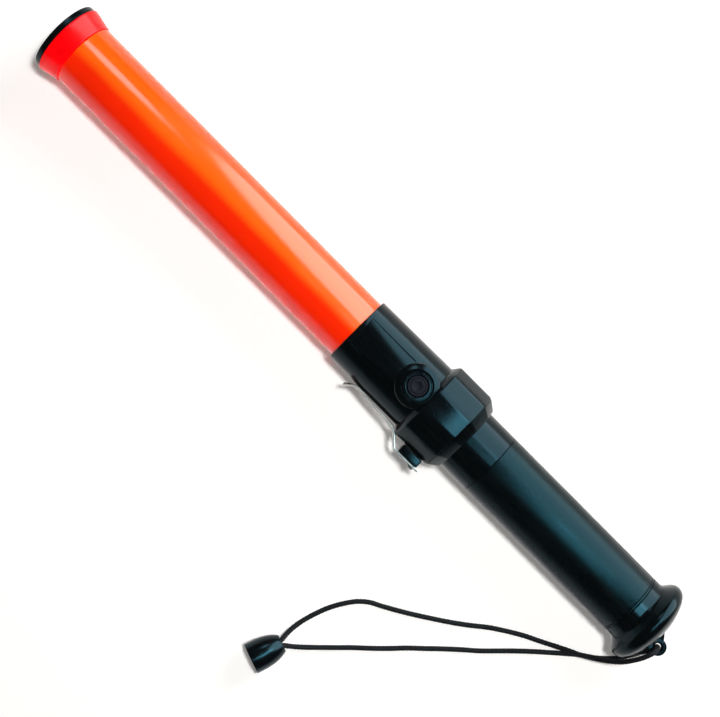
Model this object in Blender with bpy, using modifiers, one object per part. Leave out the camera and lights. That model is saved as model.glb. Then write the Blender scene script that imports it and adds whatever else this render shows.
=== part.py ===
"""LED traffic baton: a glowing orange tube on a black battery handle, with a press button, a belt clip
and a wrist lanyard. Metres, +Z up.

The baton lies level along X, its tip at -X and its tail at +X, on the lowest facet of its collar and on
the flange of its tail cap. The origin is the middle of that facet. Turned pieces hang on the empty
baton_axis: there local Z runs along the baton, local X points up and local Y to the belt clip's side.
"""

import math

import bmesh
import bpy
from mathutils import Quaternion, Vector

# Fits
SEAT_GAP = 0.0003
SLIDE_GAP = 0.0004
THREAD_GAP = 0.00035
CUT_MARGIN = 0.002

# Faceting
SEGMENTS = 40
SMALL_SEGMENTS = 24
LED_SEGMENTS = 12
SHARP_ANGLE = math.radians(32)

# Light tube and its tip
TUBE_RADIUS = 0.0218
TUBE_WALL = 0.0018
TUBE_SHOWN = 0.2427
TUBE_SEATED = 0.0195
CAP_LENGTH = 0.0149
CAP_NECK_RADIUS = 0.0226
CAP_RIM_RADIUS = 0.0251
CAP_WALL = 0.0020
CAP_EDGE = 0.0009
SPIGOT_LENGTH = 0.0120
PLATE_RADIUS = 0.0245
PLATE_THICKNESS = 0.0020
PLATE_EDGE = 0.0007

# Light board
BOARD_WIDTH = 0.0120
BOARD_THICKNESS = 0.0016
BOARD_OVERHANG = 0.0070
HOLDER_THICKNESS = 0.0030
LED_COUNT = 8
LED_RADIUS = 0.0025
LED_FLANGE_RADIUS = 0.0029
LED_FLANGE_HEIGHT = 0.0010
LED_HEIGHT = 0.0070
LED_END_MARGIN = 0.0180

# Head
HEAD_RADIUS = 0.0249
MOUTH_RADIUS = 0.0240
HEAD_LIP = 0.0005
BARREL_LENGTH = 0.0596
COLLAR_CHAMFER = 0.0037
COLLAR_LENGTH = 0.0264
COLLAR_APOTHEM = 0.0292
COLLAR_SIDES = 12
CHAMBER_RADIUS = 0.0215
LEDGE_RADIUS = 0.0190
LEDGE_LENGTH = 0.0046
TUBE_GASKET_THICKNESS = 0.0010
PANEL_HALF_WIDTH = 0.0106
PANEL_RISE = 0.0008
PANEL_MARGIN = 0.0025

# Button, from the outside in
BUTTON_STATION = 0.0512
BOSS_RADIUS = 0.0144
BOSS_RISE = 0.0027
BOSS_EDGE = 0.0009
RECESS_RADIUS = 0.0099
RECESS_DEPTH = 0.0028
BEZEL_THICKNESS = 0.0014
BEZEL_EDGE = 0.0004
BUTTON_RADIUS = 0.0065
BUTTON_SET_BACK = 0.0004
BUTTON_DISH_RADIUS = 0.0031
BUTTON_DISH_DEPTH = 0.0006
BUTTON_EDGE = 0.0006
BUTTON_TRAVEL = 0.0015
BUTTON_FLANGE_RADIUS = 0.0088
BUTTON_FLANGE_THICKNESS = 0.0012
BUTTON_STEM_RADIUS = 0.0022
BUTTON_STEM_LENGTH = 0.0018
BUTTON_WEB = 0.0020
SPRING_WIRE_RADIUS = 0.00025
SPRING_RADIUS = 0.0042
SPRING_TURNS = 3

# Electronics in the head
CARRIER_THICKNESS = 0.0030
SHELF_WIDTH = 0.0300
SHELF_THICKNESS = 0.0020
SHELF_LENGTH = 0.0350
SHELF_HEIGHT = 0.0066
CONTROL_BOARD_WIDTH = 0.0280
CONTROL_BOARD_LENGTH = 0.0320
SWITCH_SIDE = 0.0120
SWITCH_HEIGHT = 0.0060
SWITCH_FLOOR = 0.0010
PLUNGER_RADIUS = 0.0019
CHIP_SIDE = 0.0080
CHIP_HEIGHT = 0.0018
RESISTOR_RADIUS = 0.0011
RESISTOR_LENGTH = 0.0065
RESISTOR_OFFSET = 0.0105
WIRE_RADIUS = 0.0007

# Handle
HANDLE_SEATED = 0.0237
NECK_RADIUS = 0.0223
NECK_LENGTH = 0.0213
RING_LENGTH = 0.0066
RING_REAR_RADIUS = 0.0238
RING_EDGE = 0.0005
CORE_RADIUS = 0.0207
GRIP_THICKNESS = 0.0015
GRIP_EDGE = 0.0004
FRONT_BORE_RADIUS = 0.0150
FRONT_BORE_LENGTH = 0.0280
CELL_CLEARANCE = 0.0004
BULKHEAD_THICKNESS = 0.0040
CONTACT_RADIUS = 0.0060
CONTACT_THICKNESS = 0.0012
CONTACT_STEM_RADIUS = 0.0020
CONTACT_STEM_REACH = 0.0045

# Two cells of D size
CELL_RADIUS = 0.0168
CELL_LENGTH = 0.0615
CELL_NUB_RADIUS = 0.00475
CELL_NUB_LENGTH = 0.0020
CELL_EDGE = 0.0008

# Strip that carries the current back from the tail
STRIP_WIDTH = 0.0040
STRIP_THICKNESS = 0.0005
STRIP_TAB = 0.0030
STRIP_REACH = 0.0040

# Tail cap
SPRING_SPACE = 0.0053
PLUG_LENGTH = 0.0108
PLUG_WALL = 0.0028
CUP_FLOOR_DEPTH = 0.0012
TAIL_GASKET_THICKNESS = 0.0012
TAIL_GASKET_WIDTH = 0.0030
SKIRT_LENGTH = 0.0070
FLANGE_CONE_LENGTH = 0.0052
FLANGE_RIM_LENGTH = 0.0062
FLANGE_BACK_LENGTH = 0.0030
FLANGE_EDGE = 0.0014
DOME_RADIUS = 0.0245
DOME_SHOULDER_RADIUS = 0.0205
DOME_END_RADIUS = 0.0160
DOME_SHOULDER = 0.0018
DOME_LENGTH = 0.0036
EYE_RADIUS = 0.0056
EYE_HOLE_RADIUS = 0.0031
EYE_THICKNESS = 0.0040
EYE_REACH = 0.0124
EYE_SIDE_STEP = 0.0066
TAIL_WIRE_RADIUS = 0.0006
TAIL_SPRING_TURNS = 4
TAIL_SPRING_TOP_RADIUS = 0.0070
TAIL_CONTACT_THICKNESS = 0.0005

# Screw thread of the tail cap: right handed
THREAD_PITCH = 0.0030
THREAD_DEPTH = 0.0010
THREAD_ROOT = 0.0006
THREAD_ROOT_WIDTH = 0.0014
THREAD_CREST_WIDTH = 0.0007
THREAD_TURNS = 2.5
THREAD_START = 0.0018
THREAD_STEPS = 24

# Belt clip
CLIP_BLOCK_LENGTH = 0.0154
CLIP_BLOCK_SETBACK = 0.0026
CLIP_BLOCK_WIDTH = 0.0150
CLIP_BLOCK_HEIGHT = 0.0059
CLIP_BLOCK_EDGE = 0.0010
LEAF_WIDTH = 0.0116
LEAF_TIP_WIDTH = 0.0080
LEAF_THICKNESS = 0.0010
LEAF_TAIL = 0.0052
LEAF_REACH = 0.0663
LEAF_CONTACT = 0.0590
CLIP_SCREW_SETBACK = 0.0028
CLIP_SCREW_SPREAD = 0.0032
SCREW_RADIUS = 0.0013
SCREW_HEAD_RADIUS = 0.0023
SCREW_HEAD_HEIGHT = 0.0013
SCREW_SOCKET_RADIUS = 0.0010
SCREW_BITE = 0.0030

# Lanyard
CORD_RADIUS = 0.00175
CORD_POINTS = 40
CORD_BEND_WEIGHT = 0.008
BELL_LENGTH = 0.0220
BELL_MOUTH_RADIUS = 0.0102
BELL_WALL = 0.0015
BELL_ENTRY_RADIUS = 0.0041
BELL_CROWN = 0.0025
BELL_MOUTH = Vector((0.0236, -0.1930, 0.0108))
BELL_HEADING = Vector((0.3250, 0.9340, -0.0600)).normalized()
KNOT_RADIUS = 0.0054
KNOT_LENGTH = 0.0088
STRAND_SPREAD = 0.0019

# Stations along the baton
COLLAR_REAR = COLLAR_LENGTH / 2
COLLAR_FRONT = -COLLAR_LENGTH / 2
BARREL_END = COLLAR_FRONT - COLLAR_CHAMFER
HEAD_MOUTH = BARREL_END - BARREL_LENGTH
TUBE_REAR = HEAD_MOUTH + TUBE_SEATED
TUBE_FRONT = HEAD_MOUTH - TUBE_SHOWN
CAP_SHOULDER = TUBE_FRONT - SEAT_GAP
CAP_FACE = CAP_SHOULDER - CAP_LENGTH
PLATE_REAR = CAP_FACE - SEAT_GAP
SPIGOT_END = CAP_SHOULDER + SPIGOT_LENGTH
HOLDER_FRONT = SPIGOT_END + SEAT_GAP
LEDGE_FRONT = TUBE_REAR + TUBE_GASKET_THICKNESS + 2 * SEAT_GAP
LEDGE_REAR = LEDGE_FRONT + LEDGE_LENGTH
CARRIER_FRONT = LEDGE_REAR + SEAT_GAP
CARRIER_REAR = CARRIER_FRONT + CARRIER_THICKNESS
HANDLE_FRONT = COLLAR_REAR - HANDLE_SEATED
RING_FRONT = COLLAR_REAR + SEAT_GAP
RING_REAR = RING_FRONT + RING_LENGTH
NECK_END = RING_REAR + NECK_LENGTH
BULKHEAD_FRONT = HANDLE_FRONT + FRONT_BORE_LENGTH + SEAT_GAP
BULKHEAD_REAR = BULKHEAD_FRONT + BULKHEAD_THICKNESS
CONTACT_FRONT = BULKHEAD_REAR + SEAT_GAP
FRONT_CELL = CONTACT_FRONT + CONTACT_THICKNESS + SEAT_GAP
REAR_CELL = FRONT_CELL + CELL_LENGTH + SEAT_GAP
CELLS_END = REAR_CELL + CELL_LENGTH
TAIL_CONTACT_FRONT = CELLS_END + SPRING_SPACE
PLUG_FRONT = TAIL_CONTACT_FRONT + TAIL_CONTACT_THICKNESS + SEAT_GAP
HANDLE_REAR = PLUG_FRONT + PLUG_LENGTH
SKIRT_FRONT = HANDLE_REAR + TAIL_GASKET_THICKNESS + 2 * SEAT_GAP
FLANGE_FRONT = SKIRT_FRONT + SKIRT_LENGTH
FLANGE_RIM = FLANGE_FRONT + FLANGE_CONE_LENGTH
FLANGE_BACK = FLANGE_RIM + FLANGE_RIM_LENGTH
DOME_FRONT = FLANGE_BACK + FLANGE_BACK_LENGTH
DOME_END = DOME_FRONT + DOME_LENGTH
CUP_FLOOR = SKIRT_FRONT + CUP_FLOOR_DEPTH
EYE_STATION = DOME_END + EYE_REACH - EYE_RADIUS

# Radii and heights that follow
AXIS_HEIGHT = COLLAR_APOTHEM
TUBE_BORE = TUBE_RADIUS - TUBE_WALL
SOCKET_RADIUS = TUBE_RADIUS + SEAT_GAP
HANDLE_SOCKET_RADIUS = NECK_RADIUS + SEAT_GAP
CELL_BORE = CELL_RADIUS + CELL_CLEARANCE
PLUG_RADIUS = CELL_BORE - SEAT_GAP
CUP_RADIUS = PLUG_RADIUS - PLUG_WALL
STRIP_INNER = CELL_BORE + SEAT_GAP
STRIP_OUTER = STRIP_INNER + STRIP_THICKNESS
GRIP_RADIUS = CORE_RADIUS + GRIP_THICKNESS
BUTTON_AT = HEAD_MOUTH + BUTTON_STATION
BOSS_TOP = HEAD_RADIUS + BOSS_RISE
RECESS_FLOOR = BOSS_TOP - RECESS_DEPTH
BUTTON_CEILING = RECESS_FLOOR - BUTTON_WEB
BUTTON_TOP = BOSS_TOP - BUTTON_SET_BACK
FLANGE_TOP = BUTTON_CEILING - SEAT_GAP
FLANGE_BOTTOM = FLANGE_TOP - BUTTON_FLANGE_THICKNESS
STEM_BOTTOM = FLANGE_BOTTOM - BUTTON_STEM_LENGTH
SHELF_TOP = SHELF_HEIGHT + SHELF_THICKNESS
BOARD_TOP = SHELF_TOP + SEAT_GAP + BOARD_THICKNESS
SWITCH_BOTTOM = BOARD_TOP + SEAT_GAP
SWITCH_TOP = SWITCH_BOTTOM + SWITCH_HEIGHT
BLOCK_BOTTOM = COLLAR_APOTHEM + SEAT_GAP
BLOCK_TOP = BLOCK_BOTTOM + CLIP_BLOCK_HEIGHT
LEAF_MIDDLE = BLOCK_TOP + SEAT_GAP + LEAF_THICKNESS / 2
BLOCK_REAR = COLLAR_REAR - CLIP_BLOCK_SETBACK
BLOCK_FRONT = BLOCK_REAR - CLIP_BLOCK_LENGTH
CLIP_PIVOT = BLOCK_REAR - CLIP_SCREW_SETBACK

# The lanyard's two strands, from the eye to just before the bell
STRAND_A = [
    (0.1974, -0.0066, 0.0305),
    (0.1974, -0.0082, 0.0336),
    (0.1965, -0.0120, 0.0358),
    (0.1950, -0.0170, 0.0345),
    (0.1930, -0.0225, 0.0300),
    (0.1905, -0.0275, 0.0250),
    (0.1870, -0.0320, 0.0198),
    (0.1820, -0.0366, 0.0143),
    (0.1766, -0.0404, 0.0110),
    (0.1710, -0.0440, 0.0084),
    (0.1650, -0.0469, 0.0063),
    (0.1580, -0.0506, 0.0038),
    (0.1493, -0.0552, 0.0021),
    (0.1381, -0.0607, 0.0018),
    (0.1278, -0.0668, 0.0018),
    (0.1180, -0.0733, 0.0018),
    (0.1086, -0.0807, 0.0018),
    (0.0991, -0.0876, 0.0018),
    (0.0890, -0.0943, 0.0018),
    (0.0795, -0.1004, 0.0018),
    (0.0693, -0.1065, 0.0018),
    (0.0600, -0.1117, 0.0018),
    (0.0530, -0.1154, 0.0018),
    (0.0468, -0.1207, 0.0018),
    (0.0413, -0.1282, 0.0018),
    (0.0366, -0.1367, 0.0018),
    (0.0330, -0.1460, 0.0020),
    (0.0303, -0.1555, 0.0032),
    (0.0290, -0.1640, 0.0062),
]
STRAND_B = [
    (0.1974, -0.0066, 0.0279),
    (0.1974, -0.0082, 0.0246),
    (0.1962, -0.0120, 0.0222),
    (0.1942, -0.0170, 0.0200),
    (0.1918, -0.0225, 0.0165),
    (0.1890, -0.0280, 0.0125),
    (0.1850, -0.0335, 0.0085),
    (0.1796, -0.0388, 0.0048),
    (0.1730, -0.0435, 0.0024),
    (0.1655, -0.0498, 0.0018),
    (0.1580, -0.0563, 0.0018),
    (0.1496, -0.0637, 0.0018),
    (0.1409, -0.0718, 0.0018),
    (0.1327, -0.0799, 0.0018),
    (0.1245, -0.0879, 0.0018),
    (0.1155, -0.0957, 0.0018),
    (0.1071, -0.1034, 0.0018),
    (0.0987, -0.1114, 0.0018),
    (0.0902, -0.1194, 0.0018),
    (0.0823, -0.1276, 0.0018),
    (0.0741, -0.1356, 0.0018),
    (0.0654, -0.1436, 0.0018),
    (0.0573, -0.1516, 0.0018),
    (0.0500, -0.1587, 0.0019),
    (0.0440, -0.1642, 0.0032),
    (0.0385, -0.1686, 0.0062),
]


def clear_scene():
    for obj in list(bpy.data.objects):
        bpy.data.objects.remove(obj, do_unlink=True)


def new_collection(name, hidden=False):
    made = bpy.data.collections.new(name)
    bpy.context.scene.collection.children.link(made)
    made.hide_render = hidden
    return made


def new_material(name, color, roughness, metallic=0.0, alpha=1.0, glow=0.0):
    made = bpy.data.materials.new(name)
    made.use_nodes = True
    made.diffuse_color = (*color, alpha)
    shader = made.node_tree.nodes["Principled BSDF"]
    shader.inputs["Base Color"].default_value = (*color, 1.0)
    shader.inputs["Roughness"].default_value = roughness
    shader.inputs["Metallic"].default_value = metallic
    shader.inputs["Alpha"].default_value = alpha
    shader.inputs["Emission Color"].default_value = (*color, 1.0)
    shader.inputs["Emission Strength"].default_value = glow
    return made


clear_scene()
PARTS = new_collection("led_traffic_baton")
CUTTERS = new_collection("cutters", hidden=True)
AXIS = bpy.data.objects.new("baton_axis", None)
PARTS.objects.link(AXIS)
AXIS.location = (0, 0, AXIS_HEIGHT)
AXIS.rotation_mode = "QUATERNION"
AXIS.rotation_quaternion = Quaternion((1, 0, 1), math.pi)

BLACK_PLASTIC = new_material("black_plastic", (0.010, 0.013, 0.015), 0.35)
GRIP_RUBBER = new_material("grip_rubber", (0.012, 0.016, 0.018), 0.60)
ORANGE_TUBE = new_material("orange_tube", (0.95, 0.08, 0.01), 0.30)
RED_PLASTIC = new_material("red_plastic", (0.85, 0.005, 0.005), 0.30)
BLACK_RUBBER = new_material("black_rubber", (0.008, 0.008, 0.009), 0.75)
BOARD_GREEN = new_material("board_green", (0.02, 0.14, 0.05), 0.45)
RED_LENS = new_material("red_lens", (0.80, 0.02, 0.02), 0.10)
WHITE_PLASTIC = new_material("white_plastic", (0.75, 0.74, 0.70), 0.45)
SPRING_STEEL = new_material("spring_steel", (0.45, 0.45, 0.46), 0.30, metallic=1.0)
BRASS = new_material("brass", (0.75, 0.55, 0.22), 0.28, metallic=1.0)
CELL_SLEEVE = new_material("cell_sleeve", (0.30, 0.31, 0.33), 0.35, metallic=0.6)
RED_WIRE = new_material("red_wire", (0.60, 0.02, 0.02), 0.45)
BLACK_WIRE = new_material("black_wire", (0.02, 0.02, 0.02), 0.45)
BRAID = new_material("braid", (0.008, 0.008, 0.010), 0.85)


def add_object(name, data, material, parent=AXIS, cutter=False):
    obj = bpy.data.objects.new(name, data)
    (CUTTERS if cutter else PARTS).objects.link(obj)
    obj.parent = parent
    if cutter:
        obj.hide_render = True
        obj.display_type = "WIRE"
    elif material:
        data.materials.append(material)
    return obj


def turned(name, profile, material=None, closed=False, segments=SEGMENTS, parent=AXIS, cutter=False):
    """Turns (radius, station) points round local Z, down the outer side. Closed joins last to first."""
    mesh = bpy.data.meshes.new(name)
    edges = [(i, i + 1) for i in range(len(profile) - 1)]
    if closed:
        edges.append((len(profile) - 1, 0))
    mesh.from_pydata([(radius, 0, station) for radius, station in profile], edges, [])
    obj = add_object(name, mesh, material, parent, cutter)
    turn = obj.modifiers.new("Turn", "SCREW")
    turn.steps = segments
    turn.render_steps = segments
    turn.use_merge_vertices = True
    turn.merge_threshold = 1e-6
    return obj


def ring(name, inner, outer, front, rear, material):
    """A plain ring or tube about local Z between two stations."""
    return turned(name, [(outer, rear), (outer, front), (inner, front), (inner, rear)], material, closed=True)


def disc(name, radius, front, rear, material=None, cutter=False):
    """A plain disc about local Z between two stations."""
    return turned(name, [(0, rear), (radius, rear), (radius, front), (0, front)], material, cutter=cutter)


def box(name, low, high, material=None, bevel=0.0, parent=AXIS, cutter=False):
    mesh = bpy.data.meshes.new(name)
    bm = bmesh.new()
    bmesh.ops.create_cube(bm, size=1.0)
    low, high = Vector(low), Vector(high)
    bmesh.ops.scale(bm, vec=high - low, verts=bm.verts)
    bmesh.ops.translate(bm, vec=(low + high) / 2, verts=bm.verts)
    bm.to_mesh(mesh)
    bm.free()
    obj = add_object(name, mesh, material, parent, cutter)
    if bevel:
        rounded = obj.modifiers.new("Bevel", "BEVEL")
        rounded.width = bevel
        rounded.segments = 1
    return obj


def upright(obj, height_reference, station):
    """Turns an object's local Z to point away from the baton's axis, upwards, above the station."""
    obj.rotation_mode = "QUATERNION"
    obj.rotation_quaternion = Vector((0, 0, 1)).rotation_difference(Vector((1, 0, 0)))
    obj.location = (height_reference, 0, station)
    return obj


def round_cut(name, radius, low, high, place, direction, segments=SMALL_SEGMENTS):
    """A round cutter whose axis runs from low to high along direction through place."""
    obj = turned(name, [(0, high), (radius, high), (radius, low), (0, low)], segments=segments, cutter=True)
    obj.rotation_mode = "QUATERNION"
    obj.rotation_quaternion = Vector((0, 0, 1)).rotation_difference(Vector(direction))
    obj.location = place
    return obj


def combine(target, other, operation):
    modifier = target.modifiers.new(other.name, "BOOLEAN")
    modifier.operation = operation
    modifier.solver = "EXACT"
    modifier.object = other


def cut(target, *others):
    for other in others:
        combine(target, other, "DIFFERENCE")


def join(target, *others):
    for other in others:
        combine(target, other, "UNION")


def smooth_line(points, count, bend_weight=0.0):
    """Count points along a Catmull-Rom curve through the given ones, closer together at its bends."""
    ends = [Vector(p) for p in points]
    ends = [2 * ends[0] - ends[1], *ends, 2 * ends[-1] - ends[-2]]
    fine = []
    for a, b, c, d in zip(ends, ends[1:], ends[2:], ends[3:]):
        for i in range(20):
            t = i / 20
            square = (2 * a - 5 * b + 4 * c - d) * t**2
            cube = (3 * b - a - 3 * c + d) * t**3
            fine.append((2 * b + (c - a) * t + square + cube) / 2)
    fine.append(ends[-2])
    along = [0.0]
    for i, (a, b) in enumerate(zip(fine, fine[1:])):
        turn = (b - a).angle(a - fine[i - 1]) if i else 0.0
        along.append(along[-1] + (b - a).length + bend_weight * turn)
    line, i = [], 0
    for k in range(count):
        want = along[-1] * k / (count - 1)
        while i < len(fine) - 2 and along[i + 1] < want:
            i += 1
        share = (want - along[i]) / (along[i + 1] - along[i])
        line.append(fine[i].lerp(fine[i + 1], min(max(share, 0.0), 1.0)))
    return line


def rod(name, points, radius, material, parent=AXIS):
    """A round wire or cord along the points."""
    curve = bpy.data.curves.new(name, "CURVE")
    curve.dimensions = "3D"
    curve.bevel_depth = radius
    curve.bevel_resolution = 2
    curve.use_fill_caps = True
    spline = curve.splines.new("POLY")
    spline.points.add(len(points) - 1)
    for point, place in zip(spline.points, points):
        point.co = (*place, 1.0)
    return add_object(name, curve, material, parent)


def coil_line(low, high, low_radius, high_radius, turns, steps_per_turn, upright_at=None):
    """Points along a coil about local Z, or upright along local X at a station."""
    line = []
    for i in range(turns * steps_per_turn + 1):
        share = i / (turns * steps_per_turn)
        angle = math.tau * i / steps_per_turn
        radius = low_radius + (high_radius - low_radius) * share
        height = low + (high - low) * share
        side, other = radius * math.cos(angle), radius * math.sin(angle)
        if upright_at is None:
            line.append((side, other, height))
        else:
            line.append((height, side, upright_at + other))
    return line


def tip():
    """The flared red end cap pressed into the tube, with its black end plate."""
    bore = CAP_NECK_RADIUS - CAP_WALL - (CAP_NECK_RADIUS - TUBE_BORE + SEAT_GAP)
    turned(
        "end_cap",
        [
            (0, CAP_FACE + CAP_WALL),
            (bore, CAP_FACE + CAP_WALL),
            (bore, SPIGOT_END),
            (TUBE_BORE - SEAT_GAP, SPIGOT_END),
            (TUBE_BORE - SEAT_GAP, CAP_SHOULDER),
            (CAP_NECK_RADIUS, CAP_SHOULDER),
            (CAP_RIM_RADIUS, CAP_FACE + CAP_EDGE),
            (CAP_RIM_RADIUS - CAP_EDGE / 2, CAP_FACE),
            (0, CAP_FACE),
        ],
        RED_PLASTIC,
    )
    front = PLATE_REAR - PLATE_THICKNESS
    turned(
        "tip_plate",
        [
            (0, PLATE_REAR),
            (PLATE_RADIUS, PLATE_REAR),
            (PLATE_RADIUS, front + PLATE_EDGE),
            (PLATE_RADIUS - PLATE_EDGE, front),
            (0, front),
        ],
        BLACK_PLASTIC,
    )


def light_tube():
    ring("light_tube", TUBE_BORE, TUBE_RADIUS, TUBE_FRONT, TUBE_REAR, ORANGE_TUBE)
    front = TUBE_REAR + SEAT_GAP
    ring("tube_gasket", TUBE_BORE, TUBE_RADIUS, front, front + TUBE_GASKET_THICKNESS, BLACK_RUBBER)


def board_slot(name, low, high):
    """The cutter of a slot that the light board passes through."""
    side, up = BOARD_WIDTH / 2 + SEAT_GAP, BOARD_THICKNESS / 2 + SEAT_GAP
    return box(name, (-up, -side, low), (up, side, high), cutter=True)


def light_board():
    """The strip of LEDs along the tube's axis, held by a disc at the tip."""
    rear = HOLDER_FRONT + HOLDER_THICKNESS
    radius = TUBE_BORE - SEAT_GAP
    holder = disc("board_tip_holder", radius, HOLDER_FRONT, rear, WHITE_PLASTIC)
    cut(holder, board_slot("holder_slot", HOLDER_FRONT - CUT_MARGIN, rear + CUT_MARGIN))
    half = BOARD_THICKNESS / 2
    side = BOARD_WIDTH / 2
    low, high = (-half, -side, HOLDER_FRONT + SEAT_GAP), (half, side, CARRIER_REAR + BOARD_OVERHANG)
    box("led_board", low, high, BOARD_GREEN)
    first, last = rear + LED_END_MARGIN, HEAD_MOUTH - LED_END_MARGIN
    for i in range(LED_COUNT):
        led(i, first + (last - first) * i / (LED_COUNT - 1), 1 if i % 2 == 0 else -1)


def led(index, station, facing):
    shoulder = LED_HEIGHT - LED_RADIUS
    angles = (0, math.pi / 6, math.pi / 3)
    dome = [(LED_RADIUS * math.sin(a), shoulder + LED_RADIUS * math.cos(a)) for a in angles]
    profile = [
        *dome,
        (LED_RADIUS, shoulder),
        (LED_RADIUS, LED_FLANGE_HEIGHT),
        (LED_FLANGE_RADIUS, LED_FLANGE_HEIGHT),
        (LED_FLANGE_RADIUS, 0),
        (0, 0),
    ]
    obj = turned(f"led_{index + 1}", profile, RED_LENS, segments=LED_SEGMENTS)
    obj.rotation_mode = "QUATERNION"
    obj.rotation_quaternion = Vector((0, 0, 1)).rotation_difference(Vector((facing, 0, 0)))
    obj.location = (facing * (BOARD_THICKNESS / 2 + SEAT_GAP), 0, station)


def twelve_sided(apothem):
    """The corner radius of the collar's outline for an apothem."""
    return apothem / math.cos(math.pi / COLLAR_SIDES)


def head_outside():
    head = turned(
        "head_housing",
        [
            (0, COLLAR_REAR - COLLAR_CHAMFER),
            (HEAD_RADIUS, COLLAR_REAR - COLLAR_CHAMFER),
            (HEAD_RADIUS, COLLAR_FRONT / 2),
            (MOUTH_RADIUS, HEAD_MOUTH + HEAD_LIP),
            (MOUTH_RADIUS - HEAD_LIP, HEAD_MOUTH),
            (0, HEAD_MOUTH),
        ],
        BLACK_PLASTIC,
    )
    collar = turned(
        "collar",
        [
            (0, COLLAR_REAR),
            (twelve_sided(COLLAR_APOTHEM), COLLAR_REAR),
            (twelve_sided(COLLAR_APOTHEM), COLLAR_FRONT),
            (twelve_sided(HEAD_RADIUS - HEAD_LIP), BARREL_END),
            (0, BARREL_END),
        ],
        segments=COLLAR_SIDES,
        cutter=True,
    )
    collar.rotation_euler.z = math.pi / COLLAR_SIDES
    boss = turned(
        "button_boss",
        [
            (0, BOSS_TOP),
            (BOSS_RADIUS - BOSS_EDGE, BOSS_TOP),
            (BOSS_RADIUS, BOSS_TOP - BOSS_EDGE),
            (BOSS_RADIUS, 0),
            (0, 0),
        ],
        cutter=True,
    )
    upright(boss, 0, BUTTON_AT)
    low, high = HEAD_MOUTH + PANEL_MARGIN, BUTTON_AT - BOSS_RADIUS / 3
    panel = turned(
        "switch_panel",
        [(0, high), (HEAD_RADIUS + PANEL_RISE, high), (MOUTH_RADIUS + PANEL_RISE, low), (0, low)],
        cutter=True,
    )
    front, rear = low - CUT_MARGIN, high + CUT_MARGIN
    low, high = (MOUTH_RADIUS / 2, -PANEL_HALF_WIDTH, front), (BOSS_TOP, PANEL_HALF_WIDTH, rear)
    combine(panel, box("panel_limit", low, high, cutter=True), "INTERSECT")
    join(head, collar, boss, panel)
    return head


def head():
    """The head: a barrel for the tube, the button's boss and the twelve sided collar, bored through."""
    housing = head_outside()
    bore = turned(
        "head_bore",
        [
            (0, COLLAR_REAR + CUT_MARGIN),
            (HANDLE_SOCKET_RADIUS, COLLAR_REAR + CUT_MARGIN),
            (HANDLE_SOCKET_RADIUS, HANDLE_FRONT - SEAT_GAP),
            (CHAMBER_RADIUS, HANDLE_FRONT - SEAT_GAP),
            (CHAMBER_RADIUS, LEDGE_REAR),
            (LEDGE_RADIUS, LEDGE_REAR),
            (LEDGE_RADIUS, LEDGE_FRONT),
            (SOCKET_RADIUS, LEDGE_FRONT),
            (SOCKET_RADIUS, HEAD_MOUTH - CUT_MARGIN),
            (0, HEAD_MOUTH - CUT_MARGIN),
        ],
        cutter=True,
    )
    hole, pocket = BUTTON_RADIUS + SLIDE_GAP, BUTTON_FLANGE_RADIUS + SLIDE_GAP
    button_bore = turned(
        "button_bore",
        [
            (0, BOSS_TOP + CUT_MARGIN),
            (RECESS_RADIUS, BOSS_TOP + CUT_MARGIN),
            (RECESS_RADIUS, RECESS_FLOOR),
            (hole, RECESS_FLOOR),
            (hole, BUTTON_CEILING),
            (pocket, BUTTON_CEILING),
            (pocket, SWITCH_BOTTOM),
            (0, SWITCH_BOTTOM),
        ],
        segments=SMALL_SEGMENTS,
        cutter=True,
    )
    upright(button_bore, 0, BUTTON_AT)
    cut(housing, bore, button_bore)
    for side in (-1, 1):
        cut(housing, clip_screw_hole(f"collar_screw_hole_{side}", side))
    neck_ring()


def neck_ring():
    """The twelve sided ring that tapers from the collar to the handle's neck."""
    collar = turned(
        "neck_ring",
        [
            (0, RING_REAR),
            (twelve_sided(RING_REAR_RADIUS), RING_REAR),
            (twelve_sided(COLLAR_APOTHEM - RING_EDGE), RING_FRONT),
            (0, RING_FRONT),
        ],
        BLACK_PLASTIC,
        segments=COLLAR_SIDES,
    )
    collar.rotation_euler.z = math.pi / COLLAR_SIDES
    over = RING_LENGTH / 2
    hole = disc("neck_ring_hole", HANDLE_SOCKET_RADIUS, RING_FRONT - over, RING_REAR + over, cutter=True)
    cut(collar, hole)


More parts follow.
